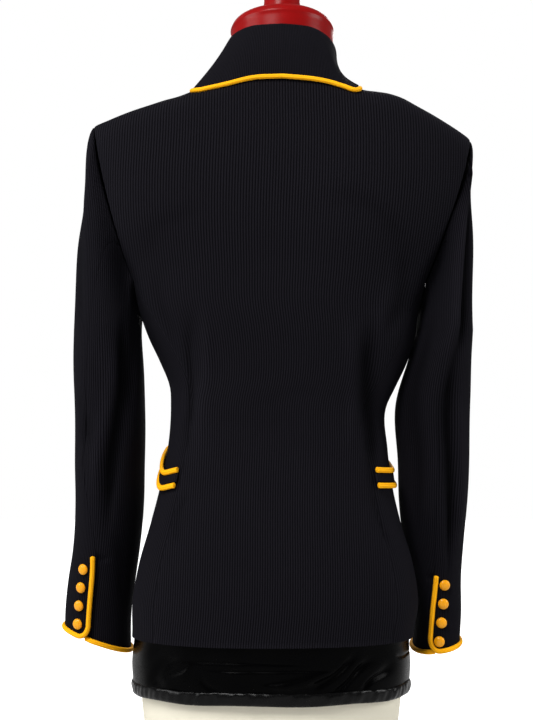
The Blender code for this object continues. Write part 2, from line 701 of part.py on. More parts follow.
def sleeve(side):
    def elbow(along):
        return float(elbow_seam(side, along))

    sleeve_panel(side, f"upper_sleeve_{side}", lambda along: FRONT_SEAM - 360, elbow, 9)
    sleeve_panel(side, f"under_sleeve_{side}", elbow, lambda along: FRONT_SEAM, 7)


def cuff_trim(side):
    lift = PIPING_RADIUS + LAYER_GAP
    heights = np.linspace(VENT_TOP[side], cuff_edge(side, 90.0) + VENT_CORNER, 8)
    vent_angle = elbow_seam(side, along_at(side, 90.0, heights)) - 1.5
    last = float(vent_angle[-1])
    corner = np.radians(np.linspace(15, 90, 5))
    reach = np.degrees(VENT_CORNER / SLEEVE_RADIUS)
    corner_angle = last - reach * (1 - np.cos(corner))
    corner_height = heights[-1] - VENT_CORNER * np.sin(corner)
    hem_angle = np.linspace(corner_angle[-1] - 8, FRONT_SEAM - 360 + 3, 14)
    angles = np.concatenate([vent_angle, corner_angle, hem_angle])
    hem_height = cuff_edge(side, hem_angle) + 0.001
    heights = np.concatenate([heights, corner_height + 0.001, hem_height])
    along = along_at(side, angles, heights)
    tube(f"cuff_piping_{side}", sleeve_point(side, angles, along, lift), "yellow_knit")
    under = np.linspace(last + 6, FRONT_SEAM - 4, 11)
    along = along_at(side, under, cuff_edge(side, under) + 0.001)
    tube(f"under_cuff_piping_{side}", sleeve_point(side, under, along, lift), "yellow_knit")


def button_profile(radius):
    """A domed button, top down, with a rounded rim and a flat back."""
    turns = np.radians((0, 25, 50, 72, 90))
    dome = [(radius * math.sin(a), radius * (RIM_SHARE + DOME_SHARE * math.cos(a))) for a in turns]
    return dome + [(radius * 0.90, 0.0), (0.0, 0.0)]


def button(name, radius, point, normal):
    turned(name, button_profile(radius), "yellow_button", BUTTON_SIDES, facing(point, normal))


def sleeve_buttons(side):
    top, step, first, last = SLEEVE_BUTTONS[side]
    for number in range(4):
        height = top + step * number
        degrees = np.array(first + (last - first) * number / 3)
        along = along_at(side, degrees, height)
        near = sleeve_point(side, degrees, along, LAYER_GAP + 0.0006)
        far = sleeve_point(side, degrees, along, 0.01)
        button(f"sleeve_button_{side}_{number + 1}", SLEEVE_BUTTON, near, far - near)


# Collar


def collar_column(name, place):
    return column(COLLAR_COLUMNS, COLLAR, name, np.abs(place))


def collar_fold(place):
    drop = np.where(place < 0, collar_column("right_drop", place), 0)
    return np.stack([np.sign(place) * collar_column("fold_x", place) + COLLAR_LEAN,
                     collar_column("fold_y", place), collar_column("fold_height", place) - drop], axis=-1)


def shoulder_lifted(across, turn, lift):
    """The shoulder's surface moved out along its normal; turn is in radians."""
    def surface(first, second):
        return shoulder_point(first, np.degrees(second))
    return lifted(surface, across, turn, -lift)


def collar_rim(place, within, lift):
    """A line beside the collar's edge: within is how far inside the middle of the piping it lies."""
    left = place > 0
    across = np.where(left, collar_column("left_x", place), -collar_column("right_x", place))
    turn = np.where(left, collar_column("left_turn", place), collar_column("right_turn", place))
    sideways = smooth_step(np.abs(place), 0.45, 0.62) * (1 - 0.8 * smooth_step(np.abs(place), 0.72, 0.9))
    across = across - np.sign(place) * within * sideways
    down = np.sign(turn) * within * np.sqrt(1 - sideways ** 2)
    return shoulder_lifted(across, np.radians(turn) - down / SHOULDER_ROUND, lift + 0 * across)


def collar_surface(place, down, lift=0.0):
    """The fall: down is 0 at the fold and 1 at the outer edge, on a line bowed out or in."""
    fold, rim = collar_fold(place), collar_rim(place, TRIM_REACH, COLLAR_LIFT)
    point = fold + (rim - fold) * down[..., None]
    inward = np.stack([COLLAR_LEAN + 0 * place, 0 * place - 0.004, point[..., 2] - 0.02], axis=-1)
    away = point - inward
    away /= np.linalg.norm(away, axis=-1, keepdims=True)
    bow = BACK_BOW * smooth_step(-np.abs(place), -0.5, -0.2)
    bow = bow + RIGHT_BOW * smooth_step(-place, 0.28, 0.50) * (1 - smooth_step(-place, 0.62, 0.80))
    return point + away * (bow * np.sin(np.pi * np.clip(down, 0, 1)) + lift)[..., None]


def collar():
    places = np.array([-place for place in COLLAR_PLACES[:0:-1]] + list(COLLAR_PLACES))
    rows = [collar_surface(places, np.full_like(places, down)) for down in (1.0, 0.75, 0.5, 0.25, 0.06)]
    fold = collar_fold(places)
    middle = np.stack([COLLAR_LEAN + 0 * places, 0 * places - 0.004, fold[:, 2]], axis=-1)
    away = fold - middle
    away /= np.linalg.norm(away, axis=-1, keepdims=True)
    up = np.array([0, 0, 1.0])
    rows.append(fold - away * STAND_INSET * 0.35 + up * 0.0018)
    rows.append(fold - away * STAND_INSET * 0.85 + up * 0.0004)
    foot = np.minimum(COLLAR_FOOT, fold[:, 2] - STAND_HEIGHT + 0.0065 * smooth_step(np.abs(places), 0.6, 1.0))
    for share in (0.25, 0.65, 1.0):
        row = fold - away * STAND_INSET
        row[:, 2] = fold[:, 2] - 0.004 + (foot - fold[:, 2] + 0.004) * share
        rows.append(row)
    rows = np.array(rows)
    core = body_core(rows)
    core[len(rows) - 4:] = 2 * rows[len(rows) - 4:] - core[len(rows) - 4:]
    cloth("collar", rows, "black_knit", core)
    lift = PIPING_RADIUS + 3 * LAYER_GAP
    tube("collar_piping", collar_rim(0.975 * places, 0.0, lift), "yellow_knit")


# Waist tabs


def tab_angle(side, along):
    """From just in front of the side-back seam at 0, round the side, to the front at 1."""
    height = TAB_FOOT + TAB_WIDTH / 2
    start = float(angle_at(edge_across("back_edge", height), height)) + np.radians(1.5)
    end = np.pi / 2 * (1 + TAB_REACH) + 0.35
    return SIGN[side] * (start + (end - start) * along)


def tab_rise(along):
    return column(TAB_COLUMNS, TAB, "rise", along)


def waist_tab(side):
    along = np.linspace(0, 1, 11)
    heights = TAB_FOOT + tab_rise(along)[None, :] + np.linspace(0, TAB_WIDTH, 3)[:, None]
    angles = np.broadcast_to(tab_angle(side, along), heights.shape)
    points = body_lifted(angles, heights, KNIT_WALL + 2.5 * LAYER_GAP + 0 * heights)
    cloth(f"waist_tab_{side}", points, "black_knit", body_core(points))
    beside = PIPING_RADIUS + 2 * LAYER_GAP
    for name, at in (("lower", -beside), ("upper", TAB_WIDTH + beside)):
        along = np.linspace(0.01, 0.99, 14)
        lift = PIPING_RADIUS + 2 * LAYER_GAP + 0 * along
        route = body_lifted(tab_angle(side, along), TAB_FOOT + tab_rise(along) + at, lift)
        tube(f"waist_trim_{name}_{side}", route, "yellow_knit")


# Lining, dress form and front buttons


def ring(height, inset, count):
    angle = np.linspace(0, 2 * np.pi, count, endpoint=False)
    height = height + 0 * angle
    return body_lifted(angle, height, -inset + 0 * angle)


def lining():
    heights = np.linspace(LINING_EDGE + LINING_TURN + SEAM_GAP, LINING_TOP, 4)
    rows = np.array([ring(height, LINING_INSET, LINING_COLUMNS) for height in heights])
    cloth("lining_band", rows, "black_satin", body_core(rows), SATIN_WALL, closed=True)
    bulge = (0.0040, 0.0022, 0.0016, 0.0026, 0.0036)
    heights = LINING_EDGE + LINING_TURN * np.array((0.0, 0.12, 0.5, 0.85, 1.0))
    rows = np.array([ring(height, inset, LINING_COLUMNS) for height, inset in zip(heights, bulge)])
    cloth("lining_hem", rows, "black_satin", body_core(rows), 2 * SATIN_WALL, closed=True)


def dress_form():
    angle = np.linspace(0, 2 * np.pi, FORM_SIDES, endpoint=False)
    rings = [ring(FORM_FOOT, FORM_EASE + 0.002, FORM_SIDES)]
    for height in (FORM_FOOT + 0.004, -0.06, 0.0, 0.05, 0.10, 0.15, 0.20, 0.25, 0.285, 0.32):
        rings.append(ring(height, FORM_EASE, FORM_SIDES))
    for row in FORM_SHOULDERS:
        size = dict(zip(FORM_COLUMNS, row))
        power = 2 / (2.3 if size["height"] < 0.6 else 2.0)
        depth = np.where(np.cos(angle) > 0, size["back"], size["front"])
        x = size["lean"] + size["half_width"] * np.sign(np.sin(angle)) * np.abs(np.sin(angle)) ** power
        y = depth * np.sign(np.cos(angle)) * np.abs(np.cos(angle)) ** power
        rings.append(np.stack([x, y, size["height"] + 0 * x], axis=-1))
    loft("form_body", np.array(rings)[:, ::-1], "cream_linen")
    foot = Matrix.Translation((*CAP_CENTRE, CAP_FOOT))
    turned("form_neck_cap", NECK_CAP, "red_lacquer", FORM_SIDES, foot)
    top = Matrix.Translation((*CAP_CENTRE, CAP_FOOT + NECK_CAP[0][1] + CAP_GAP))
    turned("form_knob", KNOB, "red_lacquer", 20, top)


def front_buttons():
    for number, height in enumerate(FRONT_BUTTON_HEIGHTS):
        lift = float(overlap_lift("right", 0.0)) + 2 * LAYER_GAP
        near = front_point("right", np.array(0.0), np.array(height), lift)
        far = front_point("right", np.array(0.0), np.array(height), lift + FRONT_BUTTON)
        button(f"front_button_{number + 1}", FRONT_BUTTON, near, far - near)


def stand_on_origin():
    """Moves the parent so that the middle of the object's underside is the origin."""
    bpy.context.view_layer.update()
    graph = bpy.context.evaluated_depsgraph_get()
    corners = []
    for obj in bpy.data.collections[OBJECT_NAME].objects:
        if obj.type in ("MESH", "CURVE"):
            mesh = obj.evaluated_get(graph).to_mesh()
            points = np.empty(len(mesh.vertices) * 3)
            mesh.vertices.foreach_get("co", points)
            points = points.reshape(-1, 3)
            world = np.array(obj.matrix_world)
            points = points @ world[:3, :3].T + world[:3, 3]
            corners += [points.min(axis=0), points.max(axis=0)]
            obj.evaluated_get(graph).to_mesh_clear()
    low, high = np.min(corners, axis=0), np.max(corners, axis=0)
    bpy.data.objects["stand_point"].location = (-(low[0] + high[0]) / 2, -(low[1] + high[1]) / 2, -low[2])


def main():
    for obj in list(bpy.data.objects):
        bpy.data.objects.remove(obj)
    parts = bpy.data.collections.new(OBJECT_NAME)
    bpy.context.scene.collection.children.link(parts)
    parts.objects.link(bpy.data.objects.new("stand_point", None))
    back_panel()
    collar()
    lining()
    dress_form()
    front_buttons()
    for side in SIGN:
        side_panel(side)
        front_panel(side)
        lapel(side)
        sleeve(side)
        cuff_trim(side)
        sleeve_buttons(side)
        waist_tab(side)
    stand_on_origin()


main()
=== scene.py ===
import math

import bpy
import numpy as np
from mathutils import Matrix, Vector


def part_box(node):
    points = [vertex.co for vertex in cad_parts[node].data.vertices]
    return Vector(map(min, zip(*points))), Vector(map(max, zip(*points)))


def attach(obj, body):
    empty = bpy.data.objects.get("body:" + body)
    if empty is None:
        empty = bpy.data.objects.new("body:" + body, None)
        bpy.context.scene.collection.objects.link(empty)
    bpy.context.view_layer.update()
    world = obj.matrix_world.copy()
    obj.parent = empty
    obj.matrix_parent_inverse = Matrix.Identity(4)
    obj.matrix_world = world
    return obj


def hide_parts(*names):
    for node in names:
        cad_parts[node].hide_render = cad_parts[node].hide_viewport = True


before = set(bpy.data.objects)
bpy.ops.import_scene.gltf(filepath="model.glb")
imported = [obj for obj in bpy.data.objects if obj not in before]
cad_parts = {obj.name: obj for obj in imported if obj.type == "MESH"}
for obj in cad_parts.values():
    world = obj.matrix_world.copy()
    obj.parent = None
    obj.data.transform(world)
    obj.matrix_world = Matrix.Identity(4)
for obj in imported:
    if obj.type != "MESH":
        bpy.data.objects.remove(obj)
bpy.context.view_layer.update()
print("frame loaded")

# Sizes are in metres, heights are above the knit hem, and +X is the wearer's left.
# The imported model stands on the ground, so every point is moved by the same shift at the end.
capCentre = (-0.0134, 0.0)
formFoot = -0.130
capLow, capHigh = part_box("form_neck_cap")
shift = np.array([(capLow.x + capHigh.x) / 2 - capCentre[0],
                  (capLow.y + capHigh.y) / 2 - capCentre[1], -formFoot])
sign = {"left": 1.0, "right": -1.0}


# A table's rows become one array for each named column, sorted by the first column.
def tableOf(names, *rows):
    return dict(zip(names.split(), np.array(sorted(rows)).T))


# Any column at any value of the first: cubic pieces whose slopes come from the neighbouring rows.
def through(table, name, at):
    x = table[next(iter(table))]
    y = table[name]
    slope = np.gradient(y, x)
    at = np.clip(np.asarray(at, float), x[0], x[-1])
    i = np.clip(np.searchsorted(x, at) - 1, 0, len(x) - 2)
    span = x[i + 1] - x[i]
    t = (at - x[i]) / span
    rising = t * t * (3 - 2 * t)
    bend = span * slope[i] * t * (1 - t) ** 2 - span * slope[i + 1] * t * t * (1 - t)
    return y[i] * (1 - rising) + y[i + 1] * rising + bend


# An S-curve from 0 at start to 1 at end: 3t^2 - 2t^3.
def ease(value, start, end):
    t = np.clip((value - start) / (end - start), 0, 1)
    return t * t * (3 - 2 * t)


# A power that keeps the value's sign, for rounded-square sections.
def powered(value, power):
    return np.sign(value) * np.abs(value) ** power


def joined(*parts):
    return np.stack(parts, axis=-1)


def unit(v):
    return v / (np.linalg.norm(v, axis=-1, keepdims=True) + 1e-12)


# Soft troughs on a surface, each along a line between two places. Depth falls off as a bell
# curve across the line, wanders a little along it, and fades out over its two ends.
def troughs(rows, a, b):
    total = 0 * (a + b)
    for n, (a0, b0, a1, b1, width, depth) in enumerate(rows):
        da, db = a1 - a0, b1 - b0
        length = math.hypot(da, db)
        t = ((a - a0) * da + (b - b0) * db) / length ** 2
        aside = ((a - a0) * db - (b - b0) * da) / length
        aside = aside + width * 0.35 * np.sin(6.1 * t + 2.3 * n)
        fade = ease(t, -0.12, 0.22) * (1 - ease(t, 0.70, 1.12))
        total = total + depth * fade * np.exp(-((aside / (width * (0.8 + 0.3 * np.sin(4 * t + n)))) ** 2))
    return total


# A grid's normals from its neighbours' differences, turned away from the core.
def gridNormals(points, core, closed=False):
    if closed:
        across = np.roll(points, -1, axis=1) - np.roll(points, 1, axis=1)
    else:
        across = np.gradient(points, axis=1)
    up = np.gradient(points, axis=0)
    normal = unit(np.cross(across, up))
    return normal * np.sign(np.sum(normal * (points - core)))


# The distance of each point of a grid from its nearest chosen edge, measured over the surface.
def edgeDistance(points, edges):
    across = np.zeros(points.shape[:2])
    up = np.zeros(points.shape[:2])
    across[:, 1:] = np.cumsum(np.linalg.norm(np.diff(points, axis=1), axis=-1), axis=1)
    up[1:] = np.cumsum(np.linalg.norm(np.diff(points, axis=0), axis=-1), axis=0)
    reach = {"first": across, "last": across[:, -1:] - across, "low": up, "top": up[-1:] - up}
    return np.min([reach[e] for e in edges], axis=0)


# The length of the surface up from its first row, for the rows of stitches.
def lengthUp(points):
    up = np.zeros(points.shape[:2])
    up[1:] = np.cumsum(np.linalg.norm(np.diff(points, axis=0), axis=-1), axis=0)
    return up


# Materials

finishes = {
    # Each knit's valley colour is painted shade in the rib valleys; the ridge colour is the yarn's own.
    "knit": {"ridge": (0.0086, 0.0079, 0.0106), "valleyShade": (0.0006, 0.0006, 0.0009), "rough": 0.92,
             "specular": 0.02, "sheen": 0.008, "sheenTint": (0.60, 0.60, 0.80), "relief": 0.00045,
             # creaseShade: how strongly painted shade darkens fold troughs and painted light brightens fold
             # ridges
             "creaseShade": 0.75},
    "satin": {"colour": (0.0003, 0.0003, 0.0004), "rough": 0.25, "specular": 0.026,
              "hemSpecular": 0.13, "relief": 0.00008},
    "trim": {"ridge": (0.94, 0.455, 0.007), "valleyShade": (0.72, 0.290, 0.004), "rough": 0.75, "specular": 0.06,
             "relief": 0.00016, "creaseShade": 0.0},
    "button": {"colour": (0.80, 0.340, 0.004), "deep": (0.66, 0.250, 0.002), "rough": 0.30, "coat": 0.20,
               "specular": 0.15, "coatRough": 0.12},
    "linen": {"colour": (0.690, 0.655, 0.540), "shade": (0.640, 0.605, 0.495), "rough": 0.85,
              "specular": 0.25, "relief": 0.00008},
    "lacquer": {"colour": (0.280, 0.0030, 0.0032), "deep": (0.130, 0.0016, 0.0017), "rough": 0.32, "coat": 0.16,
                "specular": 0.03, "coatRough": 0.28},
}


def newGroup(name, inputs, outputs):
    group = bpy.data.node_groups.new(name, "ShaderNodeTree")
    for socket, kind, value in inputs:
        made = group.interface.new_socket(name=socket, in_out="INPUT", socket_type=kind)
        if value is not None:
            made.default_value = value
    for socket, kind in outputs:
        group.interface.new_socket(name=socket, in_out="OUTPUT", socket_type=kind)
    return group, group.nodes.new("NodeGroupInput"), group.nodes.new("NodeGroupOutput")


def addNode(tree, kind, links=None, **settings):
    node = tree.nodes.new(kind)
    for key, value in settings.items():
        if key.startswith("in"):
            node.inputs[int(key[2:])].default_value = value
        else:
            setattr(node, key, value)
    for socket, source in (links or {}).items():
        tree.links.new(source, node.inputs[socket])
    return node


# A sum, wave or power of sockets and plain numbers.
def mathNode(tree, operation, *values):
    node = addNode(tree, "ShaderNodeMath", operation=operation)
    for socket, value in zip(node.inputs, values):
        if isinstance(value, (int, float)):
            socket.default_value = value
        else:
            tree.links.new(value, socket)
    return node.outputs[0]


# Rows of knit: a rib is a rounded wave across, and each rib is broken into stitches along it that
# lean alternately, so that height = rib wave x (1 - part of the stitch wave).
def ribGroup():
    group, start, end = newGroup(
        "ribKnit",
        [("Vector", "NodeSocketVector", None), ("Stitch Share", "NodeSocketFloat", 0.25),
         ("Unevenness", "NodeSocketFloat", 0.10)],
        [("Height", "NodeSocketFloat")])
    uneven = addNode(group, "ShaderNodeTexNoise", {"Vector": start.outputs["Vector"]}, in2=0.35, in3=2.0)
    centred = mathNode(group, "SUBTRACT", uneven.outputs["Fac"], 0.5)
    moved = mathNode(group, "MULTIPLY", centred, start.outputs["Unevenness"])
    parts = addNode(group, "ShaderNodeSeparateXYZ", {0: start.outputs["Vector"]})
    turn = mathNode(group, "MULTIPLY", mathNode(group, "ADD", parts.outputs[0], moved), 2 * math.pi)
    half = mathNode(group, "MULTIPLY_ADD", mathNode(group, "COSINE", turn), 0.5, 0.5)
    ridge = mathNode(group, "POWER", half, 0.7)
    along = mathNode(group, "MULTIPLY", parts.outputs[1], 2 * math.pi)
    stitch = mathNode(group, "SINE", mathNode(group, "ADD", turn, along))
    notch = mathNode(group, "MULTIPLY_ADD", stitch, 0.5, 0.5)
    left = mathNode(group, "SUBTRACT", 1.0, mathNode(group, "MULTIPLY", notch, start.outputs["Stitch Share"]))
    height = mathNode(group, "MULTIPLY", ridge, left)
    group.links.new(height, end.inputs["Height"])
    return group


# Slow changes of tone and a fine grain in one: two noises mixed about a middle value of 0.5.
def toneGroup():
    group, start, end = newGroup(
        "clothTone",
        [("Vector", "NodeSocketVector", None), ("Slow Scale", "NodeSocketFloat", 7.0),
         ("Fine Scale", "NodeSocketFloat", 600.0), ("Fine Share", "NodeSocketFloat", 0.35)],
        [("Tone", "NodeSocketFloat")])
    slow = addNode(group, "ShaderNodeTexNoise", {"Vector": start.outputs["Vector"],
                                                 "Scale": start.outputs["Slow Scale"]}, in3=4.0)
    fine = addNode(group, "ShaderNodeTexNoise", {"Vector": start.outputs["Vector"],
                                                 "Scale": start.outputs["Fine Scale"]}, in3=2.0)
    both = addNode(group, "ShaderNodeMix", {0: start.outputs["Fine Share"], 2: slow.outputs["Fac"],
                                            3: fine.outputs["Fac"]})
    group.links.new(both.outputs[0], end.inputs["Tone"])
    return group


groups = {"rib": ribGroup(), "tone": toneGroup()}


def newMaterial(name):
    material = bpy.data.materials.new(name)
    material.use_nodes = True
    tree = material.node_tree
    return material, tree, tree.nodes["Principled BSDF"]


def placeGroup(tree, name, links, **values):
    node = addNode(tree, "ShaderNodeGroup")
    node.node_tree = groups[name]
    for socket, source in links.items():
        tree.links.new(source, node.inputs[socket])
    for socket, value in values.items():
        node.inputs[socket].default_value = value
    return node


def toneOf(tree, **values):
    place = addNode(tree, "ShaderNodeTexCoord")
    return placeGroup(tree, "tone", {"Vector": place.outputs["Object"]}, **values).outputs["Tone"]


# A noise's middle part spread from low to high.
def spread(tree, source, low, high, start=0.3, end=0.7):
    return addNode(tree, "ShaderNodeMapRange", {0: source}, in1=start, in2=end, in3=low, in4=high).outputs[0]


def mixColours(tree, share, low, high):
    colour = addNode(tree, "ShaderNodeMix", {0: share}, data_type="RGBA")
    colour.inputs[6].default_value = (*low, 1)
    colour.inputs[7].default_value = (*high, 1)
    return colour.outputs[2]


def addRelief(tree, shader, height, strength, relief):
    bump = addNode(tree, "ShaderNodeBump", {"Height": height})
    bump.inputs["Strength"].default_value = strength
    bump.inputs["Distance"].default_value = relief
    tree.links.new(bump.outputs[0], shader.inputs["Normal"])


# Knit of either colour: valleys are deep and their darker colour is painted shade, ridges carry the yarn's colour
# and a soft nap.
def knitMaterial(name, look, stitchShare, toneAmount):
    material, tree, shader = newMaterial(name)
    weave = addNode(tree, "ShaderNodeUVMap", uv_map="weave")
    rib = placeGroup(tree, "rib", {"Vector": weave.outputs[0]}, **{"Stitch Share": stitchShare})
    tone = toneOf(tree, **{"Fine Scale": 420.0})
    colour = mixColours(tree, rib.outputs["Height"], look["valleyShade"], look["ridge"])
    crease = addNode(tree, "ShaderNodeAttribute", attribute_name="crease")
    # Painted shade in fold troughs and painted light on fold ridges, read from the crease attribute
    shade = spread(tree, crease.outputs["Fac"], 1 + look["creaseShade"], 1 - look["creaseShade"], -1.0, 1.0)
    toneAndShade = mathNode(tree, "MULTIPLY", spread(tree, tone, 1 - toneAmount, 1 + toneAmount), shade)
    final = addNode(tree, "ShaderNodeMix", {6: colour, 7: toneAndShade}, data_type="RGBA",
                    blend_type="MULTIPLY", in0=1.0)
    tree.links.new(final.outputs[2], shader.inputs["Base Color"])
    addRelief(tree, shader, rib.outputs["Height"], 0.8, look["relief"])
    shader.inputs["Roughness"].default_value = look["rough"]
    shader.inputs["Specular IOR Level"].default_value = look["specular"]
    if "sheen" in look:
        shader.inputs["Sheen Weight"].default_value = look["sheen"]
        shader.inputs["Sheen Roughness"].default_value = 0.6
        shader.inputs["Sheen Tint"].default_value = (*look["sheenTint"], 1)
    return material


# Satin: near black, with fine threads running round the body that break the shine up.
def satinMaterial(name, specular):
    look = finishes["satin"]
    material, tree, shader = newMaterial(name)
    weave = addNode(tree, "ShaderNodeUVMap", uv_map="weave")
    stretched = addNode(tree, "ShaderNodeMapping", {0: weave.outputs[0]})
    stretched.inputs["Scale"].default_value = (0.10, 4.0, 1.0)
    thread = addNode(tree, "ShaderNodeTexNoise", {"Vector": stretched.outputs[0]}, in2=6.0, in3=3.0)
    tone = toneOf(tree, **{"Slow Scale": 22.0})
    rough = spread(tree, tone, look["rough"] - 0.07, look["rough"] + 0.10)
    shader.inputs["Base Color"].default_value = (*look["colour"], 1)
    tree.links.new(rough, shader.inputs["Roughness"])
    addRelief(tree, shader, thread.outputs["Fac"], 0.5, look["relief"])
    shader.inputs["Specular IOR Level"].default_value = specular
    return material


# Gloss finishes: a colour that deepens in slow patches, under a clear coat.
def glossMaterial(name, look, slow):
    material, tree, shader = newMaterial(name)
    tone = toneOf(tree, **{"Slow Scale": slow})
    tree.links.new(mixColours(tree, tone, look["deep"], look["colour"]), shader.inputs["Base Color"])
    tree.links.new(spread(tree, tone, look["rough"] * 0.8, look["rough"] * 1.3), shader.inputs["Roughness"])
    shader.inputs["Specular IOR Level"].default_value = look["specular"]
    shader.inputs["Coat Weight"].default_value = look["coat"]
    shader.inputs["Coat Roughness"].default_value = look["coatRough"]
    return material


# Stretched cover of the dress form: a plain weave of two crossed waves, and slow changes of tone.
def linenMaterial():
    look = finishes["linen"]
    material, tree, shader = newMaterial("creamLinen")
    tone = toneOf(tree, **{"Slow Scale": 9.0})
    tree.links.new(mixColours(tree, tone, look["shade"], look["colour"]), shader.inputs["Base Color"])
    weave = addNode(tree, "ShaderNodeUVMap", uv_map="weave")
    parts = addNode(tree, "ShaderNodeSeparateXYZ", {0: weave.outputs[0]})
    waves = [mathNode(tree, "SINE", mathNode(tree, "MULTIPLY", parts.outputs[i], 2 * math.pi)) for i in (0, 1)]
    addRelief(tree, shader, mathNode(tree, "MULTIPLY", *waves), 0.35, look["relief"])
    shader.inputs["Roughness"].default_value = look["rough"]
    shader.inputs["Specular IOR Level"].default_value = look["specular"]
    return material


materials = {
    "black_knit": knitMaterial("blackKnit", finishes["knit"], 0.30, 0.10),
    "yellow_knit": knitMaterial("yellowKnit", finishes["trim"], 0.35, 0.06),
    "black_satin": satinMaterial("blackSatin", finishes["satin"]["specular"]),
    "turned_satin": satinMaterial("turnedSatin", finishes["satin"]["hemSpecular"]),
    "yellow_button": glossMaterial("yellowButton", finishes["button"], 90.0),
    "red_lacquer": glossMaterial("redLacquer", finishes["lacquer"], 16.0),
    "cream_linen": linenMaterial(),
}
print("materials made")


# Making pieces


# Quads of a grid of points, row by row, joined round where it is closed and over its top where looped.
def gridQuads(rows, columns, closed, looped=False):
    r, c = np.meshgrid(np.arange(rows if looped else rows - 1), np.arange(columns if closed else columns - 1),
                       indexing="ij")
    low, high, right = r * columns, (r + 1) % rows * columns, (c + 1) % columns
    return joined(low + c, low + right, high + right, high + c).reshape(-1, 4)


# A map's values at the corners of each quad of a grid, in the order of gridQuads.
def mapLoops(uv):
    return np.stack([uv[:-1, :-1], uv[:-1, 1:], uv[1:, 1:], uv[1:, :-1]], axis=2).reshape(-1, 4, 2)


def inScene(name, data):
    made = bpy.data.objects.new(name, data)
    bpy.context.scene.collection.objects.link(made)
    return made


def finishPiece(mesh, name, slotName, nodes):
    mesh.materials.append(materials[slotName])
    mesh.shade_smooth()
    piece = inScene(name, mesh)
    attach(piece, "root")
    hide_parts(*nodes)
    return piece


# The map holds ribs across and stitches along, one of each to a unit.
def addMap(mesh, loops, caps=0):
    corners = np.concatenate([loops.reshape(-1, 2), np.zeros((caps, 2))])
    mesh.uv_layers.new(name="weave").data.foreach_set("uv", corners.ravel())


# A wall of cloth under a grid of points, with its edges rounded over.
def clothPiece(name, points, uv, core, slotName, nodes, wall=0.0022, closed=False, lip=0.0007, crease=None):
    rows, columns = points.shape[:2]
    across = points[:-1, 1:] - points[:-1, :-1]
    up = points[1:, :-1] - points[:-1, :-1]
    if np.sum(np.cross(across, up) * (points - core)[:-1, :-1]) < 0:
        points, uv = points[:, ::-1], uv[:, ::-1]
        crease = None if crease is None else crease[:, ::-1]
    quads = gridQuads(rows, columns, closed)
    mesh = bpy.data.meshes.new(name)
    mesh.from_pydata((points + shift).reshape(-1, 3).tolist(), [], quads.tolist())
    addMap(mesh, mapLoops(uv))
    # The crease attribute holds each point's painted shade or painted light from its folds
    depth = mesh.attributes.new("crease", "FLOAT", "POINT")
    depth.data.foreach_set("value", np.zeros(rows * columns) if crease is None else crease.ravel())
    piece = finishPiece(mesh, name, slotName, nodes)
    shell = piece.modifiers.new("wall", "SOLIDIFY")
    shell.thickness = wall
    shell.offset = -1
    if lip:
        rim = piece.modifiers.new("lip", "BEVEL")
        rim.width = lip
        rim.segments = 2
        rim.limit_method = "ANGLE"
        rim.angle_limit = math.radians(50)
    return piece


# A closed body through rings of equal count, from the lowest up, with flat ends.
def ringPiece(name, rings, uv, slotName, nodes):
    rows, columns = rings.shape[:2]
    quads = gridQuads(rows, columns, True).tolist()
    ends = [tuple(range(columns))[::-1], tuple(range((rows - 1) * columns, rows * columns))]
    mesh = bpy.data.meshes.new(name)
    mesh.from_pydata((rings + shift).reshape(-1, 3).tolist(), [], quads + ends)
    addMap(mesh, mapLoops(uv), caps=2 * columns)
    return finishPiece(mesh, name, slotName, nodes)


# A cord of oval section along a path. Each ring is half-width x cos beside the path and
# half-height x sin along the surface's normal, and shrinks as a quarter circle at both ends.
def cordPiece(name, path, normal, halfWidth, halfHeight, slotName, nodes, sides=16, blunt=0.6):
    step = np.linalg.norm(np.diff(path, axis=0), axis=1)
    at = np.concatenate([[0], np.cumsum(step)])
    count = max(int(at[-1] / trimCut["ringStep"]), 8)
    even = np.linspace(0, at[-1], count)
    path = joined(*[np.interp(even, at, path[:, i]) for i in range(3)])
    normal = unit(joined(*[np.interp(even, at, normal[:, i]) for i in range(3)]))
    for _ in range(3):
        path[1:-1] = path[1:-1] * 0.5 + (path[:-2] + path[2:]) * 0.25
    tangent = unit(np.gradient(path, axis=0))
    side = unit(np.cross(tangent, normal))
    normal = np.cross(side, tangent)
    turn = np.linspace(0, 2 * np.pi, sides, endpoint=False)
    capTurns = np.radians((80, 55, 30))
    head = path[0] - tangent[0] * (halfHeight * blunt * np.sin(capTurns))[:, None]
    foot = path[-1] + tangent[-1] * (halfHeight * blunt * np.sin(capTurns[::-1]))[:, None]
    size = np.concatenate([np.cos(capTurns), np.ones(count), np.cos(capTurns[::-1])])
    route = np.concatenate([head, path, foot])
    side = np.concatenate([np.repeat(side[:1], 3, 0), side, np.repeat(side[-1:], 3, 0)])
    normal = np.concatenate([np.repeat(normal[:1], 3, 0), normal, np.repeat(normal[-1:], 3, 0)])
    rings = (route[:, None] + size[:, None, None] * (
        halfWidth * np.cos(turn)[None, :, None] * side[:, None]
        + halfHeight * np.sin(turn)[None, :, None] * normal[:, None]))
    length = np.concatenate([[0], np.cumsum(np.linalg.norm(np.diff(route, axis=0), axis=1))])
    u, v = np.meshgrid(np.linspace(0, trimCut["ribs"], sides + 1), length / trimCut["stitch"])
    rings = rings[:, ::-1]
    return ringPiece(name, rings, joined(u, v), slotName, nodes)


# A profile of radius and height turned about an axis, top down, as rings from the lowest up.
def turnedPiece(name, profile, matrix, slotName, nodes, sides=64):
    profile = np.array(profile)[::-1]
    turn = np.linspace(0, 2 * np.pi, sides, endpoint=False)
    rings = joined(profile[:, :1] * np.cos(turn), profile[:, :1] * np.sin(turn),
                   profile[:, 1:] + 0 * turn)
    matrix = np.array(matrix)
    rings = rings @ matrix[:3, :3].T + matrix[:3, 3]
    u, v = np.meshgrid(np.linspace(0, 1, sides + 1), profile[:, 1])
    return ringPiece(name, rings, joined(u, v), slotName, nodes)


def facing(point, normal):
    turn = Vector(normal).to_track_quat("Z", "Y").to_matrix().to_4x4()
    return Matrix.Translation(Vector(point)) @ turn


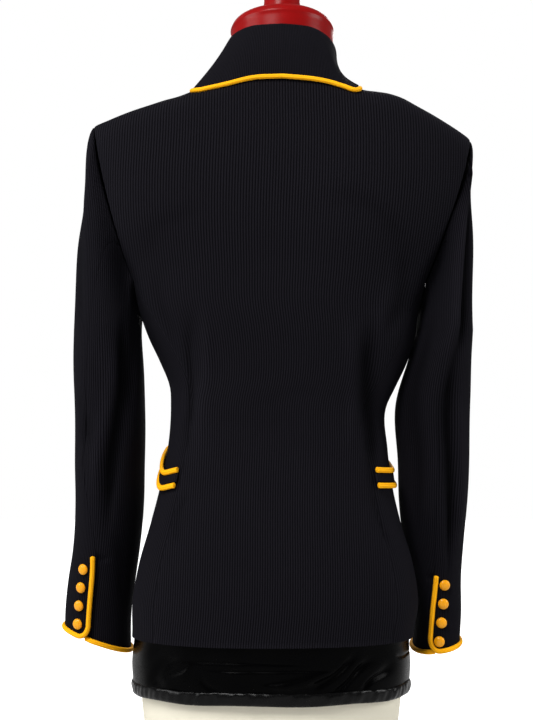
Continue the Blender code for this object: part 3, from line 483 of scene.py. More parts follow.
# A smooth profile near corner points: each span is cut finely, and each pass averages neighbours.
def softProfile(corners, fine=0.0012, passes=3):
    corners = np.array(corners, float)
    made = [corners[:1]]
    for a, b in zip(corners[:-1], corners[1:]):
        n = max(int(np.linalg.norm(b - a) / fine), 1)
        made.append(a + (b - a) * (np.arange(1, n + 1) / n)[:, None])
    points = np.concatenate(made)
    for _ in range(passes):
        points[1:-1] = points[1:-1] * 0.5 + (points[:-2] + points[2:]) * 0.25
    points[:, 0] = np.maximum(points[:, 0], 0.0004)
    return points


# The body's surface

bodyCut = tableOf(
    "height halfWidth lean back front square backEdge frontEdge",
    (-0.140, 0.1400, 0.0000, 0.100, 0.092, 2.3, 0.80, 0.78),
    (-0.056, 0.1505, 0.0000, 0.109, 0.099, 2.3, 0.80, 0.78),
    (-0.028, 0.1535, 0.0000, 0.113, 0.102, 2.3, 0.80, 0.78),
    (0.000, 0.1515, -0.0010, 0.115, 0.103, 2.3, 0.80, 0.78),
    (0.033, 0.1546, -0.0040, 0.116, 0.105, 2.3, 0.80, 0.78),
    (0.075, 0.1490, -0.0050, 0.112, 0.105, 2.3, 0.80, 0.78),
    (0.118, 0.1371, -0.0050, 0.103, 0.102, 2.3, 0.80, 0.78),
    (0.156, 0.1283, -0.0055, 0.094, 0.097, 2.3, 0.80, 0.78),
    (0.200, 0.1218, -0.0070, 0.087, 0.093, 2.3, 0.80, 0.78),
    (0.248, 0.1204, -0.0085, 0.085, 0.094, 2.3, 0.80, 0.78),
    (0.267, 0.1256, -0.0128, 0.086, 0.098, 2.3, 0.81, 0.785),
    (0.298, 0.1390, -0.0145, 0.089, 0.106, 2.35, 0.84, 0.805),
    (0.323, 0.1490, -0.0128, 0.093, 0.113, 2.4, 0.87, 0.825),
    (0.350, 0.1555, -0.0095, 0.097, 0.120, 2.5, 0.92, 0.87),
    (0.385, 0.1660, -0.0100, 0.101, 0.125, 2.6, 0.975, 0.92),
    (0.436, 0.1880, -0.0108, 0.106, 0.124, 2.9, 0.959, 0.90),
    (0.490, 0.2050, -0.0128, 0.105, 0.108, 3.0, 0.963, 0.93),
    (0.535, 0.2180, -0.0140, 0.097, 0.094, 3.0, 0.958, 0.958),
    (0.576, 0.2260, -0.0138, 0.086, 0.080, 3.0, 0.958, 0.958),
    (0.620, 0.2280, -0.0138, 0.073, 0.066, 3.0, 0.958, 0.958),
    (0.660, 0.2280, -0.0138, 0.066, 0.060, 3.0, 0.958, 0.958))
shoulderCut = tableOf(
    "across left right",
    (0.000, 0.6500, 0.6500), (0.030, 0.6385, 0.6390), (0.060, 0.6235, 0.6230), (0.090, 0.6110, 0.6075),
    (0.105, 0.6040, 0.6055), (0.118, 0.5990, 0.6035), (0.131, 0.5958, 0.5993), (0.149, 0.5905, 0.5895),
    (0.167, 0.5855, 0.5800), (0.184, 0.5803, 0.5706), (0.200, 0.5752, 0.5620), (0.216, 0.5710, 0.5535),
    (0.240, 0.5620, 0.5380))
bodyPlan = {"shoulderRound": 0.045, "neckHalfWidth": 0.066, "underarmBack": 0.385, "underarmFront": 0.398,
            "underarmSag": 0.024, "seamGap": 0.00006, "leastTurn": 0.010,
            "softSeam": (0.0005, 0.0030)}


def bodyAt(name, height):
    return through(bodyCut, name, height)


def shoulderLine(across):
    return np.where(np.asarray(across) > 0, through(shoulderCut, "left", np.abs(across)),
                    through(shoulderCut, "right", np.abs(across)))


# A rounded-square section, x = w|sin a|^p and y = d|cos a|^p, that turns over at the shoulder
# line as a quarter circle.
def bodyPoint(angle, height):
    power = 2 / bodyAt("square", height)
    across = bodyAt("halfWidth", height) * powered(np.sin(angle), power)
    depth = np.where(np.cos(angle) > 0, bodyAt("back", height), bodyAt("front", height))
    drop = np.clip((shoulderLine(across) - height) / bodyPlan["shoulderRound"], 0, 1)
    y = depth * powered(np.cos(angle), power)
    y = y * np.sqrt(np.clip(1 - (1 - drop) ** 2, 0, 1))
    return joined(across + bodyAt("lean", height), y, height + 0 * y)


def angleAt(across, height, front=False):
    share = np.clip(np.abs(across) / bodyAt("halfWidth", height), 0, 1)
    angle = np.arcsin(share ** (bodyAt("square", height) / 2))
    return np.where(np.asarray(across) < 0, -1, 1) * ((np.pi - angle) if front else angle)


# The surface moved out along its normal, which is the cross product of two short steps on it.
def lifted(point, first, second, lift):
    step = 1e-4
    along = point(first + step, second) - point(first - step, second)
    up = point(first, second + step) - point(first, second - step)
    return point(first, second) + unit(np.cross(up, along)) * np.asarray(lift)[..., None]


def bodyLifted(angle, height, lift):
    return lifted(bodyPoint, angle, height, lift)


# Near the shoulder line: turn is 0 on it, positive degrees behind it, negative before it.
def shoulderPoint(across, turn):
    turn = np.radians(turn)
    over = np.clip(np.abs(turn) - np.pi / 2, 0, None)
    flat = np.clip(turn, -np.pi / 2, np.pi / 2)
    height = shoulderLine(across) - bodyPlan["shoulderRound"] * (1 - np.cos(flat) + over)
    depth = np.where(turn > 0, bodyAt("back", height), bodyAt("front", height))
    share = np.clip(np.abs(across) / bodyAt("halfWidth", height), 0, 1)
    square = bodyAt("square", height)
    y = depth * (1 - share ** square) ** (1 / square) * np.sin(flat)
    return joined(across + bodyAt("lean", height), y, height)


def edgeAcross(edge, height):
    return bodyAt("halfWidth", height) * bodyAt(edge, height)


def tipHeight(side):
    height = 0.56
    for _ in range(12):
        height = float(shoulderLine(sign[side] * edgeAcross("backEdge", height)))
    return height


def bodyCore(points):
    height = points[..., 2]
    return joined(bodyAt("lean", height), 0 * height, height)


# Ribs spread from the waist to the shoulders, where the knit is stretched wider.
ribs = {"low": 0.00250, "high": 0.00305, "from": 0.22, "to": 0.50, "stitch": 0.0017, "side": 48, "tab": 52}


def ribPitch(height):
    return ribs["low"] + (ribs["high"] - ribs["low"]) * ease(height, ribs["from"], ribs["to"])


# A map of ribs across and stitches up, from each point's place in ribs.
def ribMap(points, across):
    return joined(across + 0 * points[..., 0], lengthUp(points) / ribs["stitch"])


def panelMap(points):
    return ribMap(points, (points[..., 0] - bodyAt("lean", points[..., 2])) / ribPitch(points[..., 2]))


# Folds of the body as troughs from one place to another: across, height, across, height, width, depth.
# Negative depths are ridges.
bodyFolds = {
    "back": (
        (-0.1020, 0.320, -0.1040, 0.165, 0.0090, 0.0062),
        (-0.0840, 0.330, -0.0860, 0.190, 0.0090, -0.0016),
        (-0.1010, 0.165, -0.1230, 0.090, 0.0060, 0.0018),
        (0.0830, 0.335, 0.0900, 0.190, 0.0080, 0.0030),
        (0.0700, 0.340, 0.0760, 0.180, 0.0100, -0.0022),
        (0.0900, 0.150, 0.1010, 0.100, 0.0060, 0.0016),
        (-0.1430, 0.400, -0.1260, 0.320, 0.0090, 0.0030),
        (-0.1350, 0.395, -0.1120, 0.310, 0.0100, -0.0016),
        (0.1230, 0.385, 0.1080, 0.310, 0.0090, 0.0014),
        (-0.0700, 0.470, -0.1500, 0.410, 0.0160, 0.0014),
        (0.0800, 0.455, 0.1420, 0.405, 0.0160, 0.0012),
        (-0.0500, 0.255, 0.0350, 0.243, 0.0100, 0.0007),
        (-0.0200, 0.228, 0.0600, 0.222, 0.0090, 0.0006),
    ),
    "front": (
        (0.0900, 0.300, 0.1000, 0.200, 0.0080, 0.0026),
        (-0.0900, 0.300, -0.1000, 0.190, 0.0080, 0.0030),
        (0.1500, 0.470, 0.1050, 0.400, 0.0120, 0.0030),
        (-0.1500, 0.460, -0.1080, 0.390, 0.0120, 0.0032),
        (0.0250, 0.225, 0.0850, 0.262, 0.0090, 0.0016),
        (-0.0250, 0.222, -0.0800, 0.255, 0.0090, 0.0018),
    ),
}


# Folds of the back and of the front, each fading out over the blend between the two.
def twoSided(folds, points, blend):
    across, depth, height = points[..., 0], points[..., 1], points[..., 2]
    return (troughs(folds["back"], across, height) * ease(depth, -blend, blend)
            + troughs(folds["front"], across, height) * ease(depth, blend, -blend))


def foldDepth(points):
    return twoSided(bodyFolds, points, 0.020)


# Painted shade in a trough and painted light on a ridge, from 1 in a trough 6 mm deep to -0.6.
def creaseShade(depth):
    return np.clip(depth / 0.006, -0.6, 1.0)


def foldShade(points):
    return creaseShade(foldDepth(points))


def bodyRelief(points):
    across, height = points[..., 0], points[..., 2]
    slow = 0.0004 * np.sin(31 * across + 9 * height) + 0.0003 * np.sin(23 * height - 17 * across + 1.3)
    return slow - foldDepth(points)


# Panels turn in at their seams, so that neighbours meet in a narrow groove.
def seamed(points, core, edges, relief, depth=0.0011, reach=0.0022):
    distance = edgeDistance(points, edges) if edges else np.full(points.shape[:2], 1.0)
    lift = relief - depth * np.exp(-((distance / reach) ** 2))
    return points + gridNormals(points, core) * lift[..., None]


# Places from one edge to the other, closer together near both edges.
def crowded(start, end, count, pull=0.55):
    t = np.linspace(-1, 1, count)
    t = t * (1 - pull) + np.sin(t * np.pi / 2) * pull
    return start + (end - start) * (t + 1) / 2


def panelRows(foot, top, level=64, above=30):
    rows = [foot * t + 0 * top for t in np.linspace(0, 1, level)]
    return rows + [foot + (top - bodyPlan["shoulderRound"] - foot) * t for t in np.linspace(0, 1, above)[1:]]


# Knit panels of the body


def backAcross(shares, height):
    left, right = edgeAcross("backEdge", height[-1]), edgeAcross("backEdge", height[0])
    return shares * (np.where(shares > 0, left, right) - bodyPlan["seamGap"])


def makeBack():
    neck = bodyPlan["neckHalfWidth"] / edgeAcross("backEdge", tipHeight("left"))
    outer = crowded(neck, 1, 44)[1:]
    shares = np.concatenate([-outer[::-1], neck * np.sin(np.radians(np.linspace(-90, 90, 33))), outer])
    turnAtNeck = np.arccos(np.clip(np.abs(shares) / neck, 0, 1))
    tips = {side: edgeAcross("backEdge", tipHeight(side)) for side in sign}
    top = shoulderLine(shares * np.where(shares > 0, tips["left"], tips["right"]))
    points = []
    for height in panelRows(bodyPlan["underarmBack"], top):
        points.append(bodyPoint(angleAt(backAcross(shares, height), height), height))
    for share in np.linspace(0, 1, 16)[1:]:
        turn = np.pi / 2 - (np.pi / 2 - np.maximum(turnAtNeck, bodyPlan["leastTurn"])) * share
        height = top - bodyPlan["shoulderRound"] * (1 - np.cos(turn))
        points.append(shoulderPoint(backAcross(shares, height), np.degrees(turn)))
    points = np.array(points)
    uv = panelMap(points)
    core = bodyCore(points)
    points = seamed(points, core, ("first", "last", "top"), bodyRelief(points), *bodyPlan["softSeam"])
    clothPiece("backPanel", points, uv, core, "black_knit", ["back_panel"], lip=0.0003,
                      crease=foldShade(points))


# From the back seam at 0 to the front seam at 1.
def sideAngle(side, height, share):
    back = np.abs(angleAt(edgeAcross("backEdge", height), height))
    front = np.abs(angleAt(edgeAcross("frontEdge", height), height, front=True))
    return sign[side] * (back + (front - back) * share)


# The underarm sags between the two seams as a parabola.
def armholeLow(side, share):
    height = bodyPlan["underarmBack"] + (bodyPlan["underarmFront"] - bodyPlan["underarmBack"]) * share
    height = height - bodyPlan["underarmSag"] * 4 * share * (1 - share)
    return sideAngle(side, height, share), height


def makeSidePanel(side):
    shares = crowded(0.0008, 0.9992, 44)
    _, top = armholeLow(side, shares)
    points = []
    for part in np.linspace(0, 1, 64):
        height = top * part
        points.append(bodyPoint(sideAngle(side, height, shares), height))
    points = np.array(points)
    uv = ribMap(points, shares * ribs["side"])
    core = bodyCore(points)
    points = seamed(points, core, ("first", "last", "top"), bodyRelief(points), *bodyPlan["softSeam"])
    clothPiece(f"sidePanel.{side}", points, uv, core, "black_knit", [f"side_panel_{side}"], lip=0.0003,
                      crease=foldShade(points))


frontCut = {"overlap": 0.020, "breakHeight": 0.335, "lapelTop": 0.560, "lapelWidth": 0.060,
            "rollTop": 0.047, "rollFoot": 0.003, "wall": 0.0022, "layer": 0.0005, "lapelFoot": 0.004,
            "rollGap": 0.0004, "lapelSlope": 0.020, "billow": 0.0022, "pipingAt": 0.95}


# 0 at the break and 1 at the lapel's top.
def lapelShare(height, most):
    start, end = frontCut["breakHeight"], frontCut["lapelTop"]
    return np.clip((height - start) / (end - start), 0, most)


def rollAcross(height):
    share = lapelShare(height, 1.4)
    return frontCut["rollFoot"] + (frontCut["rollTop"] - frontCut["rollFoot"]) * share ** 0.92


def overlapLift(side, across):
    if side == "left":
        return 0 * across
    return (frontCut["wall"] + 2 * frontCut["layer"]) * (1 - ease(across, 0.030, 0.065))


# Straight and past the middle below the break, along the roll line above it.
def frontInner(height):
    below = -frontCut["overlap"] + 0 * height
    above = rollAcross(height) + frontCut["rollGap"]
    above = above + 0.007 * ease(height, frontCut["lapelTop"] + 0.002, frontCut["lapelTop"] + 0.020)
    blend = ease(height, frontCut["breakHeight"] - 0.030, frontCut["breakHeight"] + 0.010)
    return below * (1 - blend) + above * blend


def frontPoint(side, across, height, lift):
    angle = angleAt(np.abs(across), height, front=True)
    angle = np.where(across >= 0, angle, 2 * np.pi - angle) * sign[side]
    return bodyLifted(angle, height, lift)


def makeFront(side):
    plan = bodyPlan
    outer = crowded(0, 1, 76)
    tipAcross = edgeAcross("backEdge", tipHeight(side))
    top = shoulderLine(sign[side] * (plan["neckHalfWidth"] + (tipAcross - plan["neckHalfWidth"]) * outer))
    points = []
    for height in panelRows(plan["underarmFront"], top):
        inner = frontInner(height[0])
        edge = edgeAcross("frontEdge", height[-1]) - plan["seamGap"]
        across = inner + (edge - inner) * outer
        points.append(frontPoint(side, across, height, overlapLift(side, across)))
    for turn in np.linspace(np.pi / 2, plan["leastTurn"], 16)[1:]:
        height = top - plan["shoulderRound"] * (1 - math.cos(turn))
        inner = frontInner(height[0])
        inner = inner + (plan["neckHalfWidth"] - inner) * (1 - math.sin(turn))
        edge = edgeAcross("frontEdge", height[-1]) - plan["seamGap"]
        points.append(shoulderPoint(sign[side] * (inner + (edge - inner) * outer), -math.degrees(turn)))
    points = np.array(points)
    uv = panelMap(points)
    core = bodyCore(points)
    points = seamed(points, core, ("last", "top"), bodyRelief(points))
    clothPiece(f"front.{side}", points, uv, core, "black_knit", [f"front_{side}"])


def lapelEdge(height):
    share = lapelShare(height, 1)
    foot = frontCut["lapelFoot"]
    return foot + (frontCut["lapelWidth"] - foot) * np.sin(share * 1.45) ** 0.9


# Across the lapel from its roll line at 0 to its edge at 1, bowed out between them.
def lapelPoint(side, share, height, lift):
    across = rollAcross(height) + frontCut["rollGap"] + lapelEdge(height) * share
    low = frontCut["lapelSlope"] * share * ease(height, frontCut["lapelTop"] - 0.120, frontCut["lapelTop"])
    billow = frontCut["billow"] * np.sin(np.pi * np.clip(share, 0, 1))
    return frontPoint(side, across, height - low, overlapLift(side, across) + lift + billow)


trimCut = {"halfWidth": 0.0027, "halfHeight": 0.0024, "layer": 0.0005, "ribs": 7, "stitch": 0.0021,
           "ringStep": 0.0016}


# A trim cord along a surface, which gives the path at one lift and the normal from a second one 1 cm out.
def trimCord(name, surface, lift, node, cut=trimCut, blunt=0.6):
    path = surface(lift)
    cordPiece(name, path, surface(lift + 0.01) - path, cut["halfWidth"], cut["halfHeight"], "yellow_knit",
              [node], blunt=blunt)


def makeLapel(side):
    layer = frontCut["layer"]
    heights = np.linspace(frontCut["breakHeight"] + 0.012, frontCut["lapelTop"], 90)
    share, height = np.meshgrid(np.linspace(0, 1, 34), heights)
    points = lapelPoint(side, share, height, frontCut["wall"] + 2 * layer)
    uv = ribMap(points, share * lapelEdge(height) / ribs["high"])
    clothPiece(f"lapel.{side}", points, uv, bodyCore(points), "black_knit", [f"lapel_{side}"])
    edge = np.linspace(frontCut["lapelTop"] - 0.004, frontCut["breakHeight"] + 0.016, 60)
    straight = np.linspace(frontCut["breakHeight"] - 0.002, 0.003, 84)

    # The right side's piping goes on down the front edge
    def rim(lift):
        turned = lapelPoint(side, frontCut["pipingAt"] + 0 * edge, edge, frontCut["wall"] + 5 * layer + lift)
        if side == "left":
            return turned
        across = frontInner(straight) + 0.003
        low = overlapLift(side, across) + 2 * layer + lift
        return np.concatenate([turned, frontPoint(side, across, straight, low)])

    trimCord(f"lapelPiping.{side}", rim, trimCut["halfHeight"], f"lapel_piping_{side}")


makeBack()
for side in sign:
    makeSidePanel(side)
    makeFront(side)
    makeLapel(side)
print("body panels made")


# Sleeves: round angle 0 outermost, 90 towards the back, 180 against the body

sleeveCut = {
    "left": tableOf(
        "height x y halfX halfY",
        (0.330, 0.1825, 0.002, 0.0378, 0.0620), (0.290, 0.1808, 0.001, 0.0392, 0.0600),
        (0.255, 0.1803, -0.002, 0.0392, 0.0570), (0.188, 0.1799, -0.008, 0.0391, 0.0540),
        (0.144, 0.1797, -0.014, 0.0384, 0.0520), (0.089, 0.1842, -0.024, 0.0375, 0.0500),
        (0.055, 0.1887, -0.030, 0.0378, 0.0490), (0.020, 0.1925, -0.036, 0.0372, 0.0480),
        (-0.030, 0.1935, -0.041, 0.0365, 0.0470)),
    "right": tableOf(
        "height x y halfX halfY",
        (0.330, -0.1940, 0.002, 0.0312, 0.0640), (0.300, -0.1880, 0.001, 0.0350, 0.0610),
        (0.255, -0.1815, -0.002, 0.0412, 0.0570), (0.188, -0.1815, -0.008, 0.0398, 0.0540),
        (0.144, -0.1808, -0.014, 0.0382, 0.0520), (0.100, -0.1824, -0.026, 0.0338, 0.0510),
        (0.055, -0.1858, -0.038, 0.0274, 0.0505), (0.020, -0.1868, -0.044, 0.0264, 0.0500),
        (-0.030, -0.1850, -0.048, 0.0255, 0.0490)),
}
elbowSeam = tableOf(
    "along left right",
    (0.00, 118.0, 112.0), (0.20, 92.0, 100.0), (0.35, 72.0, 95.0), (0.50, 63.0, 94.0), (0.70, 60.0, 94.0),
    (0.83, 85.0, 102.0), (0.92, 88.0, 114.0), (1.00, 88.0, 120.0))
sleevePlan = {"capShare": 0.35, "capEnd": 0.330, "square": 2.2, "frontSeam": 250.0, "radius": 0.045,
              "ribCount": 108, "ventTop": {"left": 0.083, "right": 0.062}, "corner": 0.016,
              "underlap": 0.014, "seamGapDegrees": 0.08, "seamDepth": 0.0009, "hemDepth": 0.0013,
              "hemReach": 0.006, "seamReach": 0.0020, "overLift": 0.0006, "underTuck": 0.0032,
              "pipingRise": 0.0010,
              "padDent": {"left": (0.0050, 0.488, 0.045), "right": (0.0070, 0.490, 0.045)},
              "cuff": {"left": (-0.008, 0.014, 0.0), "right": (-0.015, 0.005, -0.004)}}
# Folds of each sleeve: angle, height, angle, height, width and depth. Angles become metres round the
# arm when they are used.
sleeveFolds = {
    "left": (
        (128, 0.330, 98, 0.120, 0.0100, 0.0085),
        (112, 0.300, 80, 0.150, 0.0100, -0.0030),
        (20, 0.470, 60, 0.330, 0.0120, 0.0030),
        (150, 0.350, 140, 0.240, 0.0080, 0.0024),
        (40, 0.260, 78, 0.200, 0.0110, 0.0016),
        (70, 0.235, 30, 0.180, 0.0100, 0.0012),
        (-40, 0.440, -20, 0.300, 0.0120, 0.0024),
        (-70, 0.300, -30, 0.210, 0.0110, 0.0022),
        (-60, 0.230, -20, 0.170, 0.0100, 0.0018),
        (200, 0.320, 230, 0.160, 0.0100, 0.0026),
        (112, 0.105, 150, 0.030, 0.0090, 0.0014),
    ),
    "right": (
        (46, 0.490, 70, 0.300, 0.0110, 0.0100),
        (72, 0.470, 96, 0.300, 0.0120, -0.0036),
        (76, 0.300, 76, 0.070, 0.0080, 0.0070),
        (58, 0.260, 54, 0.090, 0.0100, -0.0024),
        (130, 0.330, 128, 0.120, 0.0100, 0.0030),
        (-40, 0.440, -20, 0.300, 0.0120, 0.0026),
        (-70, 0.290, -34, 0.200, 0.0110, 0.0024),
        (-56, 0.220, -20, 0.160, 0.0100, 0.0018),
        (205, 0.320, 232, 0.150, 0.0100, 0.0026),
    ),
}


# The armhole's edge as two runs from the shoulder tip to the underarm, behind and before.
def armhole(side):
    tip = tipHeight(side)
    runs = []
    for edge, front, foot, shares in (("backEdge", False, bodyPlan["underarmBack"], np.linspace(0, 0.5, 30)),
                                      ("frontEdge", True, bodyPlan["underarmFront"], np.linspace(1, 0.5, 30))):
        turn = np.linspace(0.004, np.pi / 2, 30)
        height = np.concatenate([tip - bodyPlan["shoulderRound"] * (1 - np.cos(turn)),
                                 np.linspace(tip - bodyPlan["shoulderRound"], foot, 40)[1:]])
        across = sign[side] * edgeAcross(edge, height)
        upper = bodyPoint(angleAt(across, height, front), height)
        angle, low = armholeLow(side, shares)
        runs.append(np.concatenate([upper, bodyPoint(angle, low)[1:]]))
    return runs


armholes = {side: armhole(side) for side in sign}


def armholeAt(side, degrees):
    back, front = armholes[side]
    degrees = np.mod(degrees, 360.0)
    made = []
    for run, share in ((back, degrees / 180), (front, (360 - degrees) / 180)):
        length = np.concatenate([[0], np.cumsum(np.linalg.norm(np.diff(run, axis=0), axis=1))])
        at = np.clip(share, 0, 1) * length[-1]
        made.append(joined(*[np.interp(at, length, run[:, i]) for i in range(3)]))
    return np.where((degrees <= 180)[..., None], made[0], made[1])


def sleeveSize(side, height):
    return [through(sleeveCut[side], name, height) for name in ("x", "y", "halfX", "halfY")]


# A rounded-square ring at a height: x = a|cos t|^p and y = b|sin t|^p about the ring's middle.
def sleeveRing(side, degrees, height):
    middleX, middleY, halfX, halfY = sleeveSize(side, height)
    turn = np.radians(degrees)
    power = 2 / sleevePlan["square"]
    x = middleX + sign[side] * halfX * powered(np.cos(turn), power)
    y = middleY + halfY * powered(np.sin(turn), power)
    return joined(x, y, height + 0 * x)


def cuffEdge(side, degrees):
    mean, outside, back = sleevePlan["cuff"][side]
    return mean + outside * np.cos(np.radians(degrees)) + back * np.sin(np.radians(degrees))


def sleeveHeight(side, degrees, along):
    share = (along - sleevePlan["capShare"]) / (1 - sleevePlan["capShare"])
    return sleevePlan["capEnd"] + (cuffEdge(side, degrees) - sleevePlan["capEnd"]) * share


def alongAt(side, degrees, height):
    fall = (sleevePlan["capEnd"] - height) / (sleevePlan["capEnd"] - cuffEdge(side, degrees))
    return sleevePlan["capShare"] + (1 - sleevePlan["capShare"]) * fall


# Directions in which the cap leaves its armhole, and how far its curve is pulled out and up.
capShape = {"out": 0.9, "round": 0.25, "behind": 0.35, "fall": -0.30, "tuck": 0.0005, "frontTuck": 0.0036,
            "tuckAngle": 215, "tuckWidth": 24, "puff": 0.004, "puffAbove": 0.018, "puffTop": -0.004,
            "rise": 0.006, "riseAbove": 0.034, "riseTop": 0.070}


# The cap leaves the armhole outwards and turns down on a Bezier curve; rings follow below it.
def sleeveSmooth(side, degrees, along):
    shape = capShape
    start = armholeAt(side, degrees)
    end = sleeveRing(side, degrees, sleevePlan["capEnd"] + 0 * degrees)
    top = np.clip(np.cos(np.radians(degrees)), 0, 1)
    low = np.clip(-np.cos(np.radians(degrees)), 0, 1)
    behind = np.clip(np.sin(np.radians(degrees)), 0, 1)
    out = joined(sign[side] * (shape["out"] + 0 * top),
                 shape["round"] * np.sin(np.radians(degrees)) + shape["behind"] * behind, shape["fall"] + 0 * top)
    near = np.exp(-(((np.mod(degrees, 360) - shape["tuckAngle"]) / shape["tuckWidth"]) ** 2))
    start = start - (shape["tuck"] + shape["frontTuck"] * near)[..., None] * out
    out = out * (shape["puff"] + shape["puffAbove"] * (1 - low) + shape["puffTop"] * top)[..., None]
    up = joined(0 * top, 0 * top, shape["rise"] + shape["riseAbove"] * (1 - low) + shape["riseTop"] * top)
    t = np.clip(along / sleevePlan["capShare"], 0, 1)[..., None]
    cap = ((1 - t) ** 3 * start + 3 * t * (1 - t) ** 2 * (start + out)
           + 3 * t * t * (1 - t) * (end + up) + t ** 3 * end)
    below = sleeveRing(side, degrees, sleeveHeight(side, degrees, np.maximum(along, sleevePlan["capShare"])))
    return np.where((along < sleevePlan["capShare"])[..., None], cap, below)


def sleeveSlow(side, degrees, height):
    turn = np.radians(degrees)
    slow = 0.0005 * np.sin(turn * 3 + 21 * height) + 0.0004 * np.sin(47 * height + turn)
    # Under the shoulder pad's edge the cloth falls in
    depth, middle, width = sleevePlan["padDent"][side]
    dent = depth * np.exp(-(((height - middle) / width) ** 2)) * np.clip(np.cos(turn), 0, 1)
    return slow * ease(height, 0.52, 0.40) - 0.0010 - dent  # the whole sleeve lies 1 mm in


def sleeveRelief(side, degrees, height):
    total = sleeveSlow(side, degrees, height)
    for a0, h0, a1, h1, width, depth in sleeveFolds[side]:
        middle = (a0 + a1) / 2
        turned = np.mod(degrees - middle + 180, 360) - 180 + middle
        scale = math.radians(1) * sleevePlan["radius"]
        total = total - troughs([(a0 * scale, h0, a1 * scale, h1, width, depth)], turned * scale, height)
    return total


def sleevePoint(side, degrees, along, lift=0.0):
    degrees = np.asarray(degrees, float) + 0 * np.asarray(along, float)
    along = np.asarray(along, float) + 0 * degrees

    def surface(first, second):
        return sleeveSmooth(side, np.degrees(first) * sign[side], second)

    flat = sleeveSmooth(side, degrees, along)
    inside = np.clip(along, 0.002, 0.998)
    out = lifted(surface, np.radians(degrees) * sign[side], inside, 1.0 + 0 * along)
    out = out - sleeveSmooth(side, degrees, inside)
    return flat + out * (lift + sleeveRelief(side, degrees, flat[..., 2]))[..., None]


# How far the rounded corner lifts the cuff at a distance round the sleeve from the vent's edge.
def cornerRise(away):
    r = sleevePlan["corner"]
    inside = np.clip(r - away, 0, r)
    return r - np.sqrt(np.clip(r * r - inside * inside, 0, None))


def ventStart(side):
    return float(alongAt(side, 90.0, sleevePlan["ventTop"][side]))


def sleeveEdge(side, part, along):
    seam = through(elbowSeam, side, along)
    if part == "upper":
        return seam
    under = np.degrees(sleevePlan["underlap"] / sleevePlan["radius"])
    return seam - under * ease(along, ventStart(side) - 0.004, ventStart(side) + 0.016)


def makeSleevePart(side, part):
    plan = sleevePlan
    top = crowded(0.003, plan["capShare"], 46, 0.3)
    rows = np.concatenate([top, np.linspace(plan["capShare"], 1, 118)[1:]])
    gap = plan["seamGapDegrees"]
    share = crowded(0, 1, 74 if part == "upper" else 56, 0.6)
    share, along = np.meshgrid(share, rows)
    seam = sleeveEdge(side, part, along)
    if part == "upper":
        low, high = plan["frontSeam"] - 360 + gap, seam - gap
        degrees = low + (high - low) * share
        away = np.radians(high - degrees) * plan["radius"]
        rise = cornerRise(away)
        last = alongAt(side, degrees, cuffEdge(side, degrees) + rise)
        spare = (last - plan["capShare"]) / (1 - plan["capShare"])
        along = np.where(along > plan["capShare"], plan["capShare"] + (along - plan["capShare"]) * spare, along)
        below = ease(along, ventStart(side) - 0.02, ventStart(side) + 0.02)
        lift = plan["overLift"] * below * ease(away, 0.03, 0.0)
    else:
        low, high = seam + gap, plan["frontSeam"] - gap
        degrees = low + (high - low) * share
        tuck = ease(np.degrees(plan["underlap"] / plan["radius"]) - (degrees - seam), -14.0, 4.0)
        lift = -plan["underTuck"] * tuck * ease(along, ventStart(side) - 0.010, ventStart(side) + 0.006)
    points = sleevePoint(side, degrees, along, lift)
    # Ribs hang straight: over the cap they follow the angle about the arm's own middle
    height = points[..., 2]
    middleX, middleY, halfX, halfY = sleeveSize(side, height)
    hung = np.degrees(np.arctan2((points[..., 1] - middleY) / halfY,
                                 sign[side] * (points[..., 0] - middleX) / halfX))
    hung = hung + 360 * np.round((degrees - hung) / 360)
    hung = degrees + (hung - degrees) * ease(along, plan["capShare"] + 0.04, plan["capShare"] - 0.08)
    uv = ribMap(points, hung / 360 * plan["ribCount"])
    core = joined(middleX, middleY, height)
    # Seams: crisp at the armhole and elbow, open below the vent's top
    distance = np.minimum(edgeDistance(points, ("low",)) * 1.4, edgeDistance(points, ("first", "last")))
    slit = ease(along, ventStart(side) - 0.01, ventStart(side) + 0.01)
    ventSide = (share > 0.5) if part == "upper" else (share < 0.5)
    fine = 0.25 + 0.75 * ease(along, 0.40, 0.60)
    nearHem = edgeDistance(points, ("low",)) < plan["hemReach"]
    depth = np.where(nearHem, plan["hemDepth"], plan["seamDepth"] * fine) * (1 - slit * ventSide)
    depth = depth * np.exp(-((distance / plan["seamReach"]) ** 2))
    points = points - gridNormals(points, core) * depth[..., None]
    # Painted shade in the sleeve's fold troughs and painted light on its ridges
    folds = sleeveSlow(side, degrees, height) - sleeveRelief(side, degrees, height)
    clothPiece(f"{part}Sleeve.{side}", points, uv, core, "black_knit", [f"{part}_sleeve_{side}"],
                      crease=creaseShade(folds))


